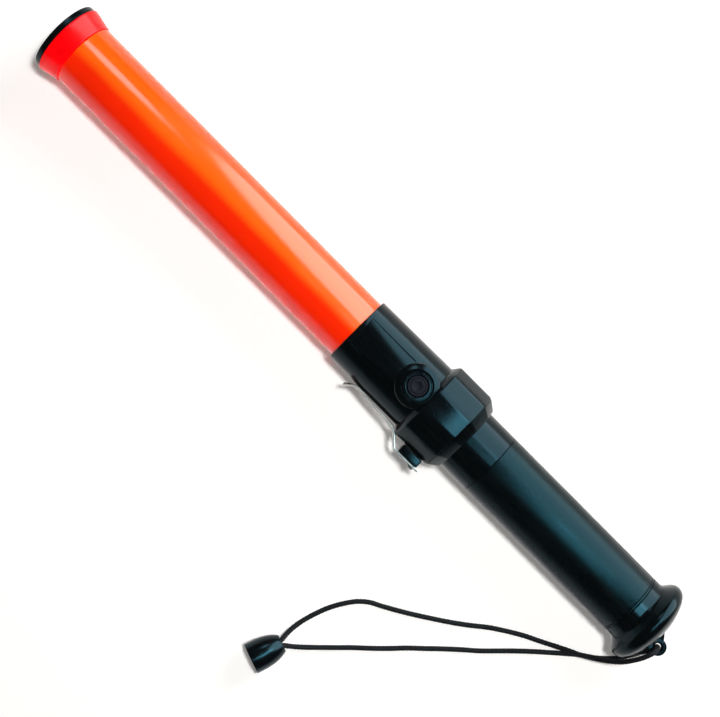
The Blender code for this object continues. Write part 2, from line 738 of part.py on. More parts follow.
def button():
    """The press button with its bezel, return spring and the plunger of the switch below."""
    outer, inner = RECESS_RADIUS - SEAT_GAP, BUTTON_RADIUS + SLIDE_GAP
    low = RECESS_FLOOR + SEAT_GAP
    high = low + BEZEL_THICKNESS
    bezel = turned(
        "button_bezel",
        [(outer, high - BEZEL_EDGE), (outer, low), (inner, low), (inner, high), (outer - BEZEL_EDGE, high)],
        BLACK_PLASTIC,
        closed=True,
        segments=SMALL_SEGMENTS,
    )
    upright(bezel, 0, BUTTON_AT)
    key = turned(
        "button",
        [
            (0, BUTTON_TOP - BUTTON_DISH_DEPTH),
            (BUTTON_DISH_RADIUS - BUTTON_DISH_DEPTH, BUTTON_TOP - BUTTON_DISH_DEPTH),
            (BUTTON_DISH_RADIUS, BUTTON_TOP),
            (BUTTON_RADIUS - BUTTON_EDGE, BUTTON_TOP),
            (BUTTON_RADIUS, BUTTON_TOP - BUTTON_EDGE),
            (BUTTON_RADIUS, FLANGE_TOP),
            (BUTTON_FLANGE_RADIUS, FLANGE_TOP),
            (BUTTON_FLANGE_RADIUS, FLANGE_BOTTOM),
            (BUTTON_STEM_RADIUS, FLANGE_BOTTOM),
            (BUTTON_STEM_RADIUS, STEM_BOTTOM),
            (0, STEM_BOTTOM),
        ],
        BLACK_RUBBER,
        segments=SMALL_SEGMENTS,
    )
    upright(key, 0, BUTTON_AT)
    reach = SPRING_WIRE_RADIUS + SEAT_GAP
    low, high = SWITCH_TOP + reach, FLANGE_BOTTOM - reach
    line = coil_line(low, high, SPRING_RADIUS, SPRING_RADIUS, SPRING_TURNS, 12, upright_at=BUTTON_AT)
    rod("button_spring", line, SPRING_WIRE_RADIUS, SPRING_STEEL)
    top, bottom = STEM_BOTTOM - SEAT_GAP, SWITCH_BOTTOM + SWITCH_FLOOR + SEAT_GAP + BUTTON_TRAVEL
    plunger = turned(
        "switch_plunger",
        [(0, top), (PLUNGER_RADIUS, top), (PLUNGER_RADIUS, bottom), (0, bottom)],
        WHITE_PLASTIC,
        segments=LED_SEGMENTS,
    )
    upright(plunger, 0, BUTTON_AT)


def electronics():
    """The board carrier in the head, with the control board and what is soldered to it."""
    radius = CHAMBER_RADIUS - SEAT_GAP
    carrier = disc("board_carrier", radius, CARRIER_FRONT, CARRIER_REAR, WHITE_PLASTIC)
    half = SHELF_WIDTH / 2
    shelf_end = CARRIER_REAR + SHELF_LENGTH
    low, high = (SHELF_HEIGHT, -half, CARRIER_REAR - SHELF_THICKNESS / 2), (SHELF_TOP, half, shelf_end)
    shelf = box("shelf", low, high, cutter=True)
    join(carrier, shelf)
    cut(carrier, board_slot("carrier_slot", CARRIER_FRONT - CUT_MARGIN, CARRIER_REAR + CUT_MARGIN))
    half = CONTROL_BOARD_WIDTH / 2
    board_end = shelf_end - BOARD_THICKNESS
    board_front = board_end - CONTROL_BOARD_LENGTH
    low, high = (SHELF_TOP + SEAT_GAP, -half, board_front), (BOARD_TOP, half, board_end)
    box("control_board", low, high, BOARD_GREEN)
    half = SWITCH_SIDE / 2
    low, high = (SWITCH_BOTTOM, -half, BUTTON_AT - half), (SWITCH_TOP, half, BUTTON_AT + half)
    switch = box("switch_body", low, high, BLACK_PLASTIC)
    radius, floor, top = PLUNGER_RADIUS + SEAT_GAP, SWITCH_BOTTOM + SWITCH_FLOOR, SWITCH_TOP + SWITCH_FLOOR
    cut(switch, round_cut("plunger_hole", radius, floor, top, (0, 0, BUTTON_AT), (1, 0, 0), LED_SEGMENTS))
    low, half = BOARD_TOP + SEAT_GAP, CHIP_SIDE / 2
    chip_at = board_front + CHIP_SIDE / 2 + BOARD_THICKNESS
    high = low + CHIP_HEIGHT
    box("control_chip", (low, -half, chip_at - half), (high, half, chip_at + half), BLACK_PLASTIC)
    for number, side in ((1, -1), (2, 1)):
        resistor = turned(
            f"resistor_{number}",
            [(0, RESISTOR_LENGTH), (RESISTOR_RADIUS, RESISTOR_LENGTH), (RESISTOR_RADIUS, 0), (0, 0)],
            WHITE_PLASTIC,
            segments=LED_SEGMENTS,
        )
        resistor.location = (low + RESISTOR_RADIUS, side * RESISTOR_OFFSET, BUTTON_AT - RESISTOR_LENGTH / 2)
    wiring(board_front, board_end)


def wiring(board_front, board_end):
    """Wires from the battery contacts and the light board to pads on top of the control board."""
    pad = BOARD_TOP + SEAT_GAP + WIRE_RADIUS
    stem = CONTACT_FRONT - CONTACT_STEM_REACH - BULKHEAD_THICKNESS
    strip = HANDLE_FRONT - STRIP_REACH - SEAT_GAP
    board_tail = CARRIER_REAR + BOARD_OVERHANG + SEAT_GAP
    middle = (STRIP_INNER + STRIP_OUTER) / 2
    routes = {
        "wire_positive": [
            (0, 0, stem - SEAT_GAP),
            (0.0005, 0.0005, stem - 0.006),
            (0.004, 0.002, stem - 0.013),
            (pad, 0.004, board_end + 0.004),
            (pad + 0.001, 0.005, board_end + 0.001),
            (pad, 0.005, board_end - 0.003),
        ],
        "wire_negative": [
            (-middle, 0, strip),
            (-middle + 0.002, -0.002, strip - 0.003),
            (-0.010, -0.006, strip - 0.001),
            (0, -0.008, board_end + 0.004),
            (pad - 0.002, -0.008, board_end + 0.0035),
            (pad + 0.001, -0.008, board_end + 0.001),
            (pad, -0.008, board_end - 0.003),
        ],
    }
    for name, side in (("wire_light_positive", 1), ("wire_light_negative", -1)):
        routes[name] = [
            (0, side * 0.004, board_tail),
            (0, side * 0.006, board_tail + 0.003),
            (0.001, side * 0.0125, board_tail + 0.006),
            (0.0055, side * 0.0170, board_tail + 0.005),
            (pad - 0.0005, side * 0.0160, board_tail + 0.003),
            (pad + 0.001, side * 0.0125, board_tail + 0.001),
            (pad, side * 0.0095, board_tail),
        ]
    for name, route in routes.items():
        rod(name, smooth_line(route, 16), WIRE_RADIUS, RED_WIRE if "positive" in name else BLACK_WIRE)


def thread(name, root, height, wide, narrow, start, turns):
    """A helical ridge of trapezoid section about local Z, rising along it as a right handed thread."""
    mesh = bpy.data.meshes.new(name)
    bm = bmesh.new()
    section = [(root, -wide / 2), (root + height, -narrow / 2), (root + height, narrow / 2), (root, wide / 2)]
    face = bm.faces.new([bm.verts.new((radius, 0, start + z)) for radius, z in section])
    steps = round(THREAD_STEPS * turns)
    bmesh.ops.spin(
        bm,
        geom=[*face.verts, *face.edges, face],
        axis=(0, 0, 1),
        cent=(0, 0, 0),
        dvec=(0, 0, THREAD_PITCH / THREAD_STEPS),
        angle=math.tau * steps / THREAD_STEPS,
        steps=steps,
    )
    bmesh.ops.recalc_face_normals(bm, faces=bm.faces)
    bm.to_mesh(mesh)
    bm.free()
    return add_object(name, mesh, None, cutter=True)


def handle():
    """The handle tube: a neck for the head, a ledge for the front contact and a bore for two cells."""
    ledge = HANDLE_FRONT + FRONT_BORE_LENGTH
    tube = turned(
        "handle_tube",
        [
            (CORE_RADIUS, HANDLE_REAR),
            (CORE_RADIUS, NECK_END),
            (NECK_RADIUS, NECK_END),
            (NECK_RADIUS, HANDLE_FRONT),
            (FRONT_BORE_RADIUS, HANDLE_FRONT),
            (FRONT_BORE_RADIUS, ledge),
            (CELL_BORE, ledge),
            (CELL_BORE, HANDLE_REAR),
        ],
        BLACK_PLASTIC,
        closed=True,
    )
    side = STRIP_WIDTH / 2 + SEAT_GAP
    groove_end = TAIL_CONTACT_FRONT - SEAT_GAP
    groove = box(
        "strip_groove",
        (-STRIP_OUTER - SEAT_GAP, -side, HANDLE_FRONT - CUT_MARGIN),
        (-FRONT_BORE_RADIUS + CUT_MARGIN, side, groove_end),
        cutter=True,
    )
    female = thread(
        "female_thread",
        CELL_BORE - THREAD_ROOT,
        THREAD_DEPTH + THREAD_ROOT + THREAD_GAP,
        THREAD_ROOT_WIDTH + 2 * THREAD_GAP,
        THREAD_CREST_WIDTH + 2 * THREAD_GAP,
        PLUG_FRONT + THREAD_START - THREAD_PITCH / THREAD_STEPS,
        (HANDLE_REAR - PLUG_FRONT - THREAD_START) / THREAD_PITCH + 0.75,
    )
    female.rotation_euler.z = -math.tau / THREAD_STEPS
    cut(tube, groove, female)
    front, rear = NECK_END + SEAT_GAP, HANDLE_REAR
    inner = CORE_RADIUS + SEAT_GAP
    turned(
        "grip_sleeve",
        [
            (GRIP_RADIUS - GRIP_EDGE, rear),
            (GRIP_RADIUS, rear - GRIP_EDGE),
            (GRIP_RADIUS, front + GRIP_EDGE),
            (GRIP_RADIUS - GRIP_EDGE, front),
            (inner, front),
            (inner, rear),
        ],
        GRIP_RUBBER,
        closed=True,
    )


def front_contact():
    """The bulkhead at the front of the battery bore, and the contact stud through it."""
    hole = CONTACT_STEM_RADIUS + SEAT_GAP
    ring("contact_carrier", hole, CELL_BORE - SEAT_GAP, BULKHEAD_FRONT, BULKHEAD_REAR, WHITE_PLASTIC)
    rear = CONTACT_FRONT + CONTACT_THICKNESS
    stem = CONTACT_FRONT - CONTACT_STEM_REACH - BULKHEAD_THICKNESS
    turned(
        "front_contact",
        [
            (0, rear),
            (CONTACT_RADIUS, rear),
            (CONTACT_RADIUS, CONTACT_FRONT),
            (CONTACT_STEM_RADIUS, CONTACT_FRONT),
            (CONTACT_STEM_RADIUS, stem),
            (0, stem),
        ],
        BRASS,
        segments=SMALL_SEGMENTS,
    )


def cells():
    for name, front in (("battery_front", FRONT_CELL), ("battery_rear", REAR_CELL)):
        can, rear = front + CELL_NUB_LENGTH, front + CELL_LENGTH
        turned(
            name,
            [
                (0, rear),
                (CELL_RADIUS - CELL_EDGE, rear),
                (CELL_RADIUS, rear - CELL_EDGE),
                (CELL_RADIUS, can + CELL_EDGE),
                (CELL_RADIUS - CELL_EDGE, can),
                (CELL_NUB_RADIUS, can),
                (CELL_NUB_RADIUS, front),
                (0, front),
            ],
            CELL_SLEEVE,
        )


def conductor_strip():
    """The flat strip in the handle's groove, with a tab that meets the tail cap's contact."""
    half = STRIP_WIDTH / 2
    rear = TAIL_CONTACT_FRONT - 2 * SEAT_GAP
    low, high = (-STRIP_OUTER, -half, HANDLE_FRONT - STRIP_REACH), (-STRIP_INNER, half, rear)
    strip = box("conductor_strip", low, high, BRASS)
    low, high = (-STRIP_OUTER, -half, rear - STRIP_THICKNESS), (-STRIP_INNER + STRIP_TAB, half, rear)
    tab = box("strip_tab", low, high, cutter=True)
    join(strip, tab)


def tail_cap():
    """The screwed tail cap: a threaded cup, the resting flange, the low dome and the lanyard's eye."""
    rim = COLLAR_APOTHEM
    cap = turned(
        "tail_cap",
        [
            (0, DOME_END),
            (DOME_END_RADIUS, DOME_END),
            (DOME_SHOULDER_RADIUS, DOME_FRONT + DOME_SHOULDER),
            (DOME_RADIUS, DOME_FRONT),
            (rim - FLANGE_EDGE, FLANGE_BACK),
            (rim, FLANGE_BACK - FLANGE_EDGE),
            (rim, FLANGE_RIM + FLANGE_EDGE / 2),
            (rim - FLANGE_EDGE / 2, FLANGE_RIM),
            (GRIP_RADIUS, FLANGE_FRONT),
            (GRIP_RADIUS, SKIRT_FRONT),
            (PLUG_RADIUS, SKIRT_FRONT),
            (PLUG_RADIUS, PLUG_FRONT),
            (CUP_RADIUS, PLUG_FRONT),
            (CUP_RADIUS, CUP_FLOOR),
            (0, CUP_FLOOR),
        ],
        BLACK_PLASTIC,
    )
    male = thread(
        "male_thread",
        PLUG_RADIUS - THREAD_ROOT,
        THREAD_DEPTH + THREAD_ROOT,
        THREAD_ROOT_WIDTH,
        THREAD_CREST_WIDTH,
        PLUG_FRONT + THREAD_START,
        THREAD_TURNS,
    )
    half = EYE_THICKNESS / 2
    root = box(
        "eye_root",
        (-half, EYE_SIDE_STEP - EYE_RADIUS, DOME_END - CUT_MARGIN),
        (half, EYE_SIDE_STEP + EYE_RADIUS, EYE_STATION),
        cutter=True,
    )
    place = (0, EYE_SIDE_STEP, EYE_STATION)
    end = round_cut("eye_round", EYE_RADIUS, -half, half, place, (1, 0, 0))
    over = half + CUT_MARGIN
    hole = round_cut("eye_hole", EYE_HOLE_RADIUS, -over, over, place, (1, 0, 0))
    join(cap, male, root, end)
    cut(cap, hole)
    inner, outer = PLUG_RADIUS + SEAT_GAP, PLUG_RADIUS + SEAT_GAP + TAIL_GASKET_WIDTH
    front = HANDLE_REAR + SEAT_GAP
    ring("tail_gasket", inner, outer, front, front + TAIL_GASKET_THICKNESS, BLACK_RUBBER)


def tail_contact():
    """The pressed contact cup in the tail cap, and the tapered spring that pushes the cells forward."""
    outer = CUP_RADIUS - SEAT_GAP
    inner = outer - TAIL_CONTACT_THICKNESS
    floor = CUP_FLOOR - SEAT_GAP
    lip = PLUG_RADIUS - SEAT_GAP
    face = TAIL_CONTACT_FRONT + TAIL_CONTACT_THICKNESS
    turned(
        "tail_contact",
        [
            (0, floor),
            (outer, floor),
            (outer, face),
            (lip, face),
            (lip, TAIL_CONTACT_FRONT),
            (inner, TAIL_CONTACT_FRONT),
            (inner, floor - TAIL_CONTACT_THICKNESS),
            (0, floor - TAIL_CONTACT_THICKNESS),
        ],
        SPRING_STEEL,
        segments=SMALL_SEGMENTS,
    )
    reach = TAIL_WIRE_RADIUS + SEAT_GAP
    base = floor - TAIL_CONTACT_THICKNESS - reach
    bottom_radius = inner * math.cos(math.pi / SMALL_SEGMENTS) - 2 * reach
    rod(
        "tail_spring",
        coil_line(CELLS_END + reach, base, TAIL_SPRING_TOP_RADIUS, bottom_radius, TAIL_SPRING_TURNS, 16),
        TAIL_WIRE_RADIUS,
        SPRING_STEEL,
    )


def clip_screw_hole(name, side):
    """The cutter of a clip screw's hole through the leaf, the block and part of the collar's wall."""
    place = (side * CLIP_SCREW_SPREAD, 0, CLIP_PIVOT)
    low, high = COLLAR_APOTHEM - SCREW_BITE - SEAT_GAP, LEAF_MIDDLE + LEAF_THICKNESS
    return round_cut(name, SCREW_RADIUS + SEAT_GAP, low, high, place, (0, 1, 0), LED_SEGMENTS)


def belt_clip():
    """The clip block on the collar's side, the sprung leaf that it carries and the two screws."""
    half = CLIP_BLOCK_WIDTH / 2
    low = (-half, BLOCK_BOTTOM, BLOCK_FRONT)
    high = (half, BLOCK_TOP, BLOCK_REAR)
    block = box("clip_block", low, high, BLACK_PLASTIC, bevel=CLIP_BLOCK_EDGE)
    leaf = clip_leaf()
    for number, side in ((1, -1), (2, 1)):
        cut(block, clip_screw_hole(f"block_screw_hole_{number}", side))
        cut(leaf, clip_screw_hole(f"leaf_screw_hole_{number}", side))
        clip_screw(number, side)


def clip_leaf():
    """The spring steel leaf. From its screws it runs flat past the block, steps in over the collar's
    corner, comes back to the barrel and flares out. Its origin is the line on which it flexes."""
    touch = HEAD_RADIUS + SEAT_GAP + LEAF_THICKNESS / 2
    corner = COLLAR_FRONT
    contact = CLIP_PIVOT - LEAF_CONTACT
    tip_end = CLIP_PIVOT - LEAF_REACH
    path = [
        (CLIP_PIVOT + LEAF_TAIL, LEAF_MIDDLE),
        (BLOCK_FRONT - 0.0020, LEAF_MIDDLE),
        (BLOCK_FRONT - 0.0038, LEAF_MIDDLE - 0.0006),
        (corner - 0.0010, COLLAR_APOTHEM + LEAF_THICKNESS),
        (corner - 0.0026, touch + 0.0033),
        (BARREL_END - 0.0016, touch + 0.0025),
        (BARREL_END - 0.0056, touch + 0.0018),
        (contact + 0.0100, touch + 0.0010),
        (contact + 0.0040, touch + 0.0003),
        (contact, touch + 0.0001),
        (contact - 0.0028, touch + 0.0010),
        (contact - 0.0055, touch + 0.0034),
        (tip_end, touch + 0.0048),
    ]
    mesh = bpy.data.meshes.new("belt_clip")
    bm = bmesh.new()
    half = LEAF_WIDTH / 2
    verts = [bm.verts.new((-half, height - LEAF_MIDDLE, station - CLIP_PIVOT)) for station, height in path]
    edges = [bm.edges.new(pair) for pair in zip(verts, verts[1:])]
    swept = bmesh.ops.extrude_edge_only(bm, edges=edges)["geom"]
    moved = [item for item in swept if isinstance(item, bmesh.types.BMVert)]
    bmesh.ops.translate(bm, vec=(LEAF_WIDTH, 0, 0), verts=moved)
    ends = [v for v in bm.verts if v.co.z < tip_end - CLIP_PIVOT + SEAT_GAP]
    bmesh.ops.scale(bm, vec=(LEAF_TIP_WIDTH / LEAF_WIDTH, 1, 1), verts=ends)
    bmesh.ops.recalc_face_normals(bm, faces=bm.faces)
    bm.to_mesh(mesh)
    bm.free()
    leaf = add_object("belt_clip", mesh, SPRING_STEEL)
    leaf.location = (0, LEAF_MIDDLE, CLIP_PIVOT)
    solid = leaf.modifiers.new("Solidify", "SOLIDIFY")
    solid.thickness = LEAF_THICKNESS
    solid.offset = 0.0
    solid.use_even_offset = True
    return leaf


def clip_screw(number, side):
    seat = LEAF_MIDDLE + LEAF_THICKNESS / 2 + SEAT_GAP
    top = seat + SCREW_HEAD_HEIGHT
    screw = turned(
        f"clip_screw_{number}",
        [
            (0, top - SCREW_HEAD_HEIGHT / 2),
            (SCREW_SOCKET_RADIUS, top - SCREW_HEAD_HEIGHT / 2),
            (SCREW_SOCKET_RADIUS, top),
            (SCREW_HEAD_RADIUS - SCREW_HEAD_HEIGHT / 4, top),
            (SCREW_HEAD_RADIUS, top - SCREW_HEAD_HEIGHT / 4),
            (SCREW_HEAD_RADIUS, seat),
            (SCREW_RADIUS, seat),
            (SCREW_RADIUS, COLLAR_APOTHEM - SCREW_BITE),
            (0, COLLAR_APOTHEM - SCREW_BITE),
        ],
        SPRING_STEEL,
        segments=LED_SEGMENTS,
    )
    screw.rotation_mode = "QUATERNION"
    screw.rotation_quaternion = Vector((0, 0, 1)).rotation_difference(Vector((0, 1, 0)))
    screw.location = (side * CLIP_SCREW_SPREAD, 0, CLIP_PIVOT)


def bell_outline(share):
    """The bell's outer radius at a share of its length from the mouth: an ogive."""
    crown = BELL_ENTRY_RADIUS + BELL_WALL
    return crown + (BELL_MOUTH_RADIUS - crown) * (1 - share**3.2)


def bell_place(depth, side=0.0):
    """The point at a depth from the bell's mouth along its axis, and sideways from it."""
    across = BELL_HEADING.cross(Vector((0, 0, 1))).normalized()
    return BELL_MOUTH + BELL_HEADING * depth + across * side


def knot_depth():
    """The depth of the knot's middle, with the knot seated on the inner edge of the bell's entry."""
    inside = BELL_LENGTH - BELL_CROWN
    return inside - SEAT_GAP - KNOT_LENGTH / 2 * math.sqrt(1 - (BELL_ENTRY_RADIUS / KNOT_RADIUS) ** 2)


def cord_bell():
    """The bell that covers the lanyard's knot, lying on the floor, with the knot inside it."""
    inside = BELL_LENGTH - BELL_CROWN
    outer = [(bell_outline(i / 8), BELL_LENGTH * i / 8) for i in range(8, -1, -1)]
    inner = [(bell_outline(inside * i / 6 / BELL_LENGTH) - BELL_WALL, inside * i / 6) for i in range(7)]
    profile = [*outer, *inner, (BELL_ENTRY_RADIUS, inside), (BELL_ENTRY_RADIUS, BELL_LENGTH)]
    bell = turned("cord_bell", profile, BLACK_PLASTIC, closed=True, segments=SMALL_SEGMENTS, parent=None)
    middle, half = knot_depth(), KNOT_LENGTH / 2
    arc = [math.pi * i / 8 for i in range(9)]
    profile = [(KNOT_RADIUS * math.sin(a), middle + half * math.cos(a)) for a in arc]
    knot = turned("cord_knot", profile, BRAID, segments=LED_SEGMENTS, parent=None)
    for obj in (bell, knot):
        obj.rotation_mode = "QUATERNION"
        obj.rotation_quaternion = Vector((0, 0, 1)).rotation_difference(BELL_HEADING)
        obj.location = BELL_MOUTH


def lanyard():
    """One cord through the eye, as two strands that meet in it and end at the knot in the bell."""
    end = knot_depth() + KNOT_LENGTH / 2 + SEAT_GAP
    strands = (("lanyard_strand_a", STRAND_A, 1, -1), ("lanyard_strand_b", STRAND_B, -1, 1))
    for name, route, up, side in strands:
        x, y, _ = route[0]
        first, last = (x, y, AXIS_HEIGHT + up * SEAT_GAP / 2), bell_place(end, side * STRAND_SPREAD)
        route = [*route, bell_place(BELL_LENGTH + SEAT_GAP, side * STRAND_SPREAD)]
        line = smooth_line(route, CORD_POINTS, CORD_BEND_WEIGHT)
        rod(name, [first, *line, last], CORD_RADIUS, BRAID, parent=None)
    cord_bell()


def shade_smooth():
    """Bakes each turned or cut piece and shades it smooth, with its real edges sharp."""
    graph = bpy.context.evaluated_depsgraph_get()
    for obj in PARTS.objects:
        if obj.type != "MESH":
            continue
        baked = bpy.data.meshes.new_from_object(obj.evaluated_get(graph))
        baked.name = obj.name
        baked.shade_smooth()
        baked.set_sharp_from_angle(angle=SHARP_ANGLE)
        obj.modifiers.clear()
        obj.data = baked


def main():
    tip()
    light_tube()
    light_board()
    head()
    button()
    electronics()
    handle()
    front_contact()
    cells()
    conductor_strip()
    tail_cap()
    tail_contact()
    belt_clip()
    lanyard()
    bpy.context.view_layer.update()
    shade_smooth()


main()
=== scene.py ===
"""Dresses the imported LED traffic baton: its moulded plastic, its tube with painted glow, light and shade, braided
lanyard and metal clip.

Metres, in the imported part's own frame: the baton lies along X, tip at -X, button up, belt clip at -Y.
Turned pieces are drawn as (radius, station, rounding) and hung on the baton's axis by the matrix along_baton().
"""

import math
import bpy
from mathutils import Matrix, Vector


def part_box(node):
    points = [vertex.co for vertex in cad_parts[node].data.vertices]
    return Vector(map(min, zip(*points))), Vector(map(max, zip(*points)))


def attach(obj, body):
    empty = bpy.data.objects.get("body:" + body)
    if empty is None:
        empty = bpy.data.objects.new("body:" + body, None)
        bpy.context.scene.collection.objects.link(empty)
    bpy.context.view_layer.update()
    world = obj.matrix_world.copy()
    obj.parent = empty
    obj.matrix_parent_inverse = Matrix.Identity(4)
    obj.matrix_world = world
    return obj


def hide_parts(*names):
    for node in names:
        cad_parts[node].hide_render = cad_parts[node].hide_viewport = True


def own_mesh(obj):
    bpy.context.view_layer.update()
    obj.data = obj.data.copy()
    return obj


bl_info = {
    "name": "LED Traffic Baton",
    "version": (1, 0, 0),
    "blender": (4, 5, 0),
    "location": "View3D > Sidebar > Baton",
    "description": "Builds the visible pieces and materials of an LED traffic baton",
    "category": "Add Mesh",
}

import bmesh
import bpy
from bpy.props import FloatProperty, FloatVectorProperty, IntProperty, PointerProperty
from bpy.types import Operator, Panel, PropertyGroup
from mathutils import Matrix, Vector

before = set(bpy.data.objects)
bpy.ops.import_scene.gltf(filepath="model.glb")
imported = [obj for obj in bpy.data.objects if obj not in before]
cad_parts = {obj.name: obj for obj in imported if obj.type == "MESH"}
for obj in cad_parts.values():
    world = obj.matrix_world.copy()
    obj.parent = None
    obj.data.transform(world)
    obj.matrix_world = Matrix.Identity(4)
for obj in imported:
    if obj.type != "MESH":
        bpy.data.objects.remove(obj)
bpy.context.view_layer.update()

GAP = 0.0003  # room between pieces that are pushed or screwed together
OVERRUN = 0.002  # how far a cutter runs past the face that it opens
HALF_FACET = math.pi / 12  # half the angle of a twelve sided piece's facet
CREASE = math.radians(30)  # edges turned more than this stay sharp
SOFT_CREASE = math.radians(60)  # the same for thin round pieces

# The lanyard's strands, from the eye to just before the bell, as in the part's source
STRAND_A = [
    (0.1974, -0.0066, 0.0305),
    (0.1974, -0.0082, 0.0336),
    (0.1965, -0.0120, 0.0358),
    (0.1950, -0.0170, 0.0345),
    (0.1930, -0.0225, 0.0300),
    (0.1905, -0.0275, 0.0250),
    (0.1870, -0.0320, 0.0198),
    (0.1820, -0.0366, 0.0143),
    (0.1766, -0.0404, 0.0110),
    (0.1710, -0.0440, 0.0084),
    (0.1650, -0.0469, 0.0063),
    (0.1580, -0.0506, 0.0038),
    (0.1493, -0.0552, 0.0021),
    (0.1381, -0.0607, 0.0018),
    (0.1278, -0.0668, 0.0018),
    (0.1180, -0.0733, 0.0018),
    (0.1086, -0.0807, 0.0018),
    (0.0991, -0.0876, 0.0018),
    (0.0890, -0.0943, 0.0018),
    (0.0795, -0.1004, 0.0018),
    (0.0693, -0.1065, 0.0018),
    (0.0600, -0.1117, 0.0018),
    (0.0530, -0.1154, 0.0018),
    (0.0468, -0.1207, 0.0018),
    (0.0413, -0.1282, 0.0018),
    (0.0366, -0.1367, 0.0018),
    (0.0330, -0.1460, 0.0020),
    (0.0303, -0.1555, 0.0032),
    (0.0290, -0.1640, 0.0062),
]
STRAND_B = [
    (0.1974, -0.0066, 0.0279),
    (0.1974, -0.0082, 0.0246),
    (0.1962, -0.0120, 0.0222),
    (0.1942, -0.0170, 0.0200),
    (0.1918, -0.0225, 0.0165),
    (0.1890, -0.0280, 0.0125),
    (0.1850, -0.0335, 0.0085),
    (0.1796, -0.0388, 0.0048),
    (0.1730, -0.0435, 0.0024),
    (0.1655, -0.0498, 0.0018),
    (0.1580, -0.0563, 0.0018),
    (0.1496, -0.0637, 0.0018),
    (0.1409, -0.0718, 0.0018),
    (0.1327, -0.0799, 0.0018),
    (0.1245, -0.0879, 0.0018),
    (0.1155, -0.0957, 0.0018),
    (0.1071, -0.1034, 0.0018),
    (0.0987, -0.1114, 0.0018),
    (0.0902, -0.1194, 0.0018),
    (0.0823, -0.1276, 0.0018),
    (0.0741, -0.1356, 0.0018),
    (0.0654, -0.1436, 0.0018),
    (0.0573, -0.1516, 0.0018),
    (0.0500, -0.1587, 0.0019),
    (0.0440, -0.1642, 0.0032),
    (0.0385, -0.1686, 0.0062),
]

# The bell lies on the floor with the knot inside its crown
BELL_MOUTH = Vector((0.0236, -0.1930, 0.0108))
BELL_HEADING = Vector((0.3250, 0.9340, -0.0600)).normalized()
BELL_LENGTH = 0.0220
BELL_MOUTH_RADIUS = 0.0102
BELL_ENTRY_RADIUS = 0.0041
BELL_WALL = 0.0015
BELL_CROWN = 0.0025
KNOT_RADIUS = 0.0054
KNOT_LENGTH = 0.0088
STRAND_SPREAD = 0.0019
CORD_RADIUS = 0.00175

# The tail cap's eye: how far it stands out of the cap, its size, and its step from the axis towards the clip
EYE_REACH = 0.0124
EYE_RADIUS = 0.0056
EYE_HALF_THICKNESS = 0.0020
EYE_SIDE_STEP = 0.0066

# The end plate's lip, which goes back over the front of the end cap
PLATE_LIP = 0.0019
PLATE_LIP_WALL = 0.0012

# The hole that the press button comes up through, and the shelf that holds it in
BUTTON_HOLE = 0.0069
BUTTON_SHELF = 0.002

# The belt clip's leaf, from its end to its tip: station along the baton, reach towards the clip's side
LEAF_PATH = [
    (0.0130, 0.0362),
    (0.0080, 0.0362),
    (0.0000, 0.0362),
    (-0.0050, 0.0362),
    (-0.0082, 0.0356),
    (-0.0112, 0.0330),
    (-0.0140, 0.0304),
    (-0.0162, 0.0290),
    (-0.0190, 0.0281),
    (-0.0235, 0.0275),
    (-0.0320, 0.0271),
    (-0.0412, 0.0267),
    (-0.0472, 0.0261),
    (-0.0512, 0.0260),
    (-0.0541, 0.0270),
    (-0.0565, 0.0289),
    (-0.0585, 0.0305),
]
LEAF_THICKNESS = 0.0010


def fitted(name, description, default, **limits):
    """A length in metres."""
    return FloatProperty(name=name, description=description, default=default, precision=5, unit="LENGTH", **limits)


def tone(name, description, default):
    """A colour."""
    limits = {"min": 0.0, "max": 1.0}
    return FloatVectorProperty(name=name, description=description, subtype="COLOR", size=3, default=default, **limits)


class BatonSettings(PropertyGroup):
    segments: IntProperty(name="Segments", description="Steps round a large turned piece", default=128, min=24)
    small_segments: IntProperty(name="Small Segments", description="Steps round a small one", default=64, min=12)
    edge_round: fitted("Edge Round", "Rounding of moulded edges", 0.0006)
    barrel_radius: fitted("Barrel Radius", "Outside radius of the head's barrel", 0.0249)
    mouth_radius: fitted("Mouth Radius", "Outside radius of the barrel at its mouth", 0.0240)
    collar_length: fitted("Collar Length", "Length of the twelve sided collar", 0.0264)
    collar_chamfer: fitted("Collar Chamfer", "Length of the slope before the collar", 0.0037)
    collar_round: fitted("Collar Round", "Rounding of the collar's long edges", 0.0026)
    panel_half_width: fitted("Panel Half Width", "Half the raised panel's width", 0.0106)
    panel_rise: fitted("Panel Rise", "Height of the panel above the barrel", 0.0008)
    groove_offset: fitted("Groove Offset", "Distance of the side grooves from the middle", 0.0102)
    groove_width: fitted("Groove Width", "Width of the side grooves", 0.0014)
    groove_depth: fitted("Groove Depth", "Depth of the side grooves", 0.0008)
    boss_radius: fitted("Boss Radius", "Radius of the button's boss", 0.0144)
    boss_slope: fitted("Boss Slope", "Width of the sloped ring round the boss", 0.0040)
    boss_height: fitted("Boss Height", "Height of the boss above the baton's axis", 0.0276)
    braid_bumps: IntProperty(name="Braid Bumps", description="Crossings round the cord", default=6, min=3)
    braid_pitch: fitted("Braid Pitch", "Length of a crossing along the cord", 0.0026)
    braid_relief: fitted("Braid Relief", "Depth between the crossings", 0.00042)
    # The tube's two colours are one plastic: its lit half, and the same plastic in painted shade for the half on the
    # clip's side.
    tube_color: tone("Tube", "Colour of the tube's lit half", (0.95, 0.155, 0.005))
    shaded_tube_color: tone("Deep Tube", "Colour of the tube's half in front of the board", (0.93, 0.024, 0.001))
    cap_color: tone("End Cap", "Colour of the flared cap", (0.90, 0.001, 0.003))
    plastic_color: tone("Plastic", "Colour of the black plastic", (0.0022, 0.0030, 0.0034))
    plastic_sheen: tone("Plastic Sheen", "Tint of its highlights", (0.36, 0.80, 1.0))
    grip_sheen: tone("Grip Sheen", "Tint of the grip's highlights", (0.24, 0.80, 1.0))


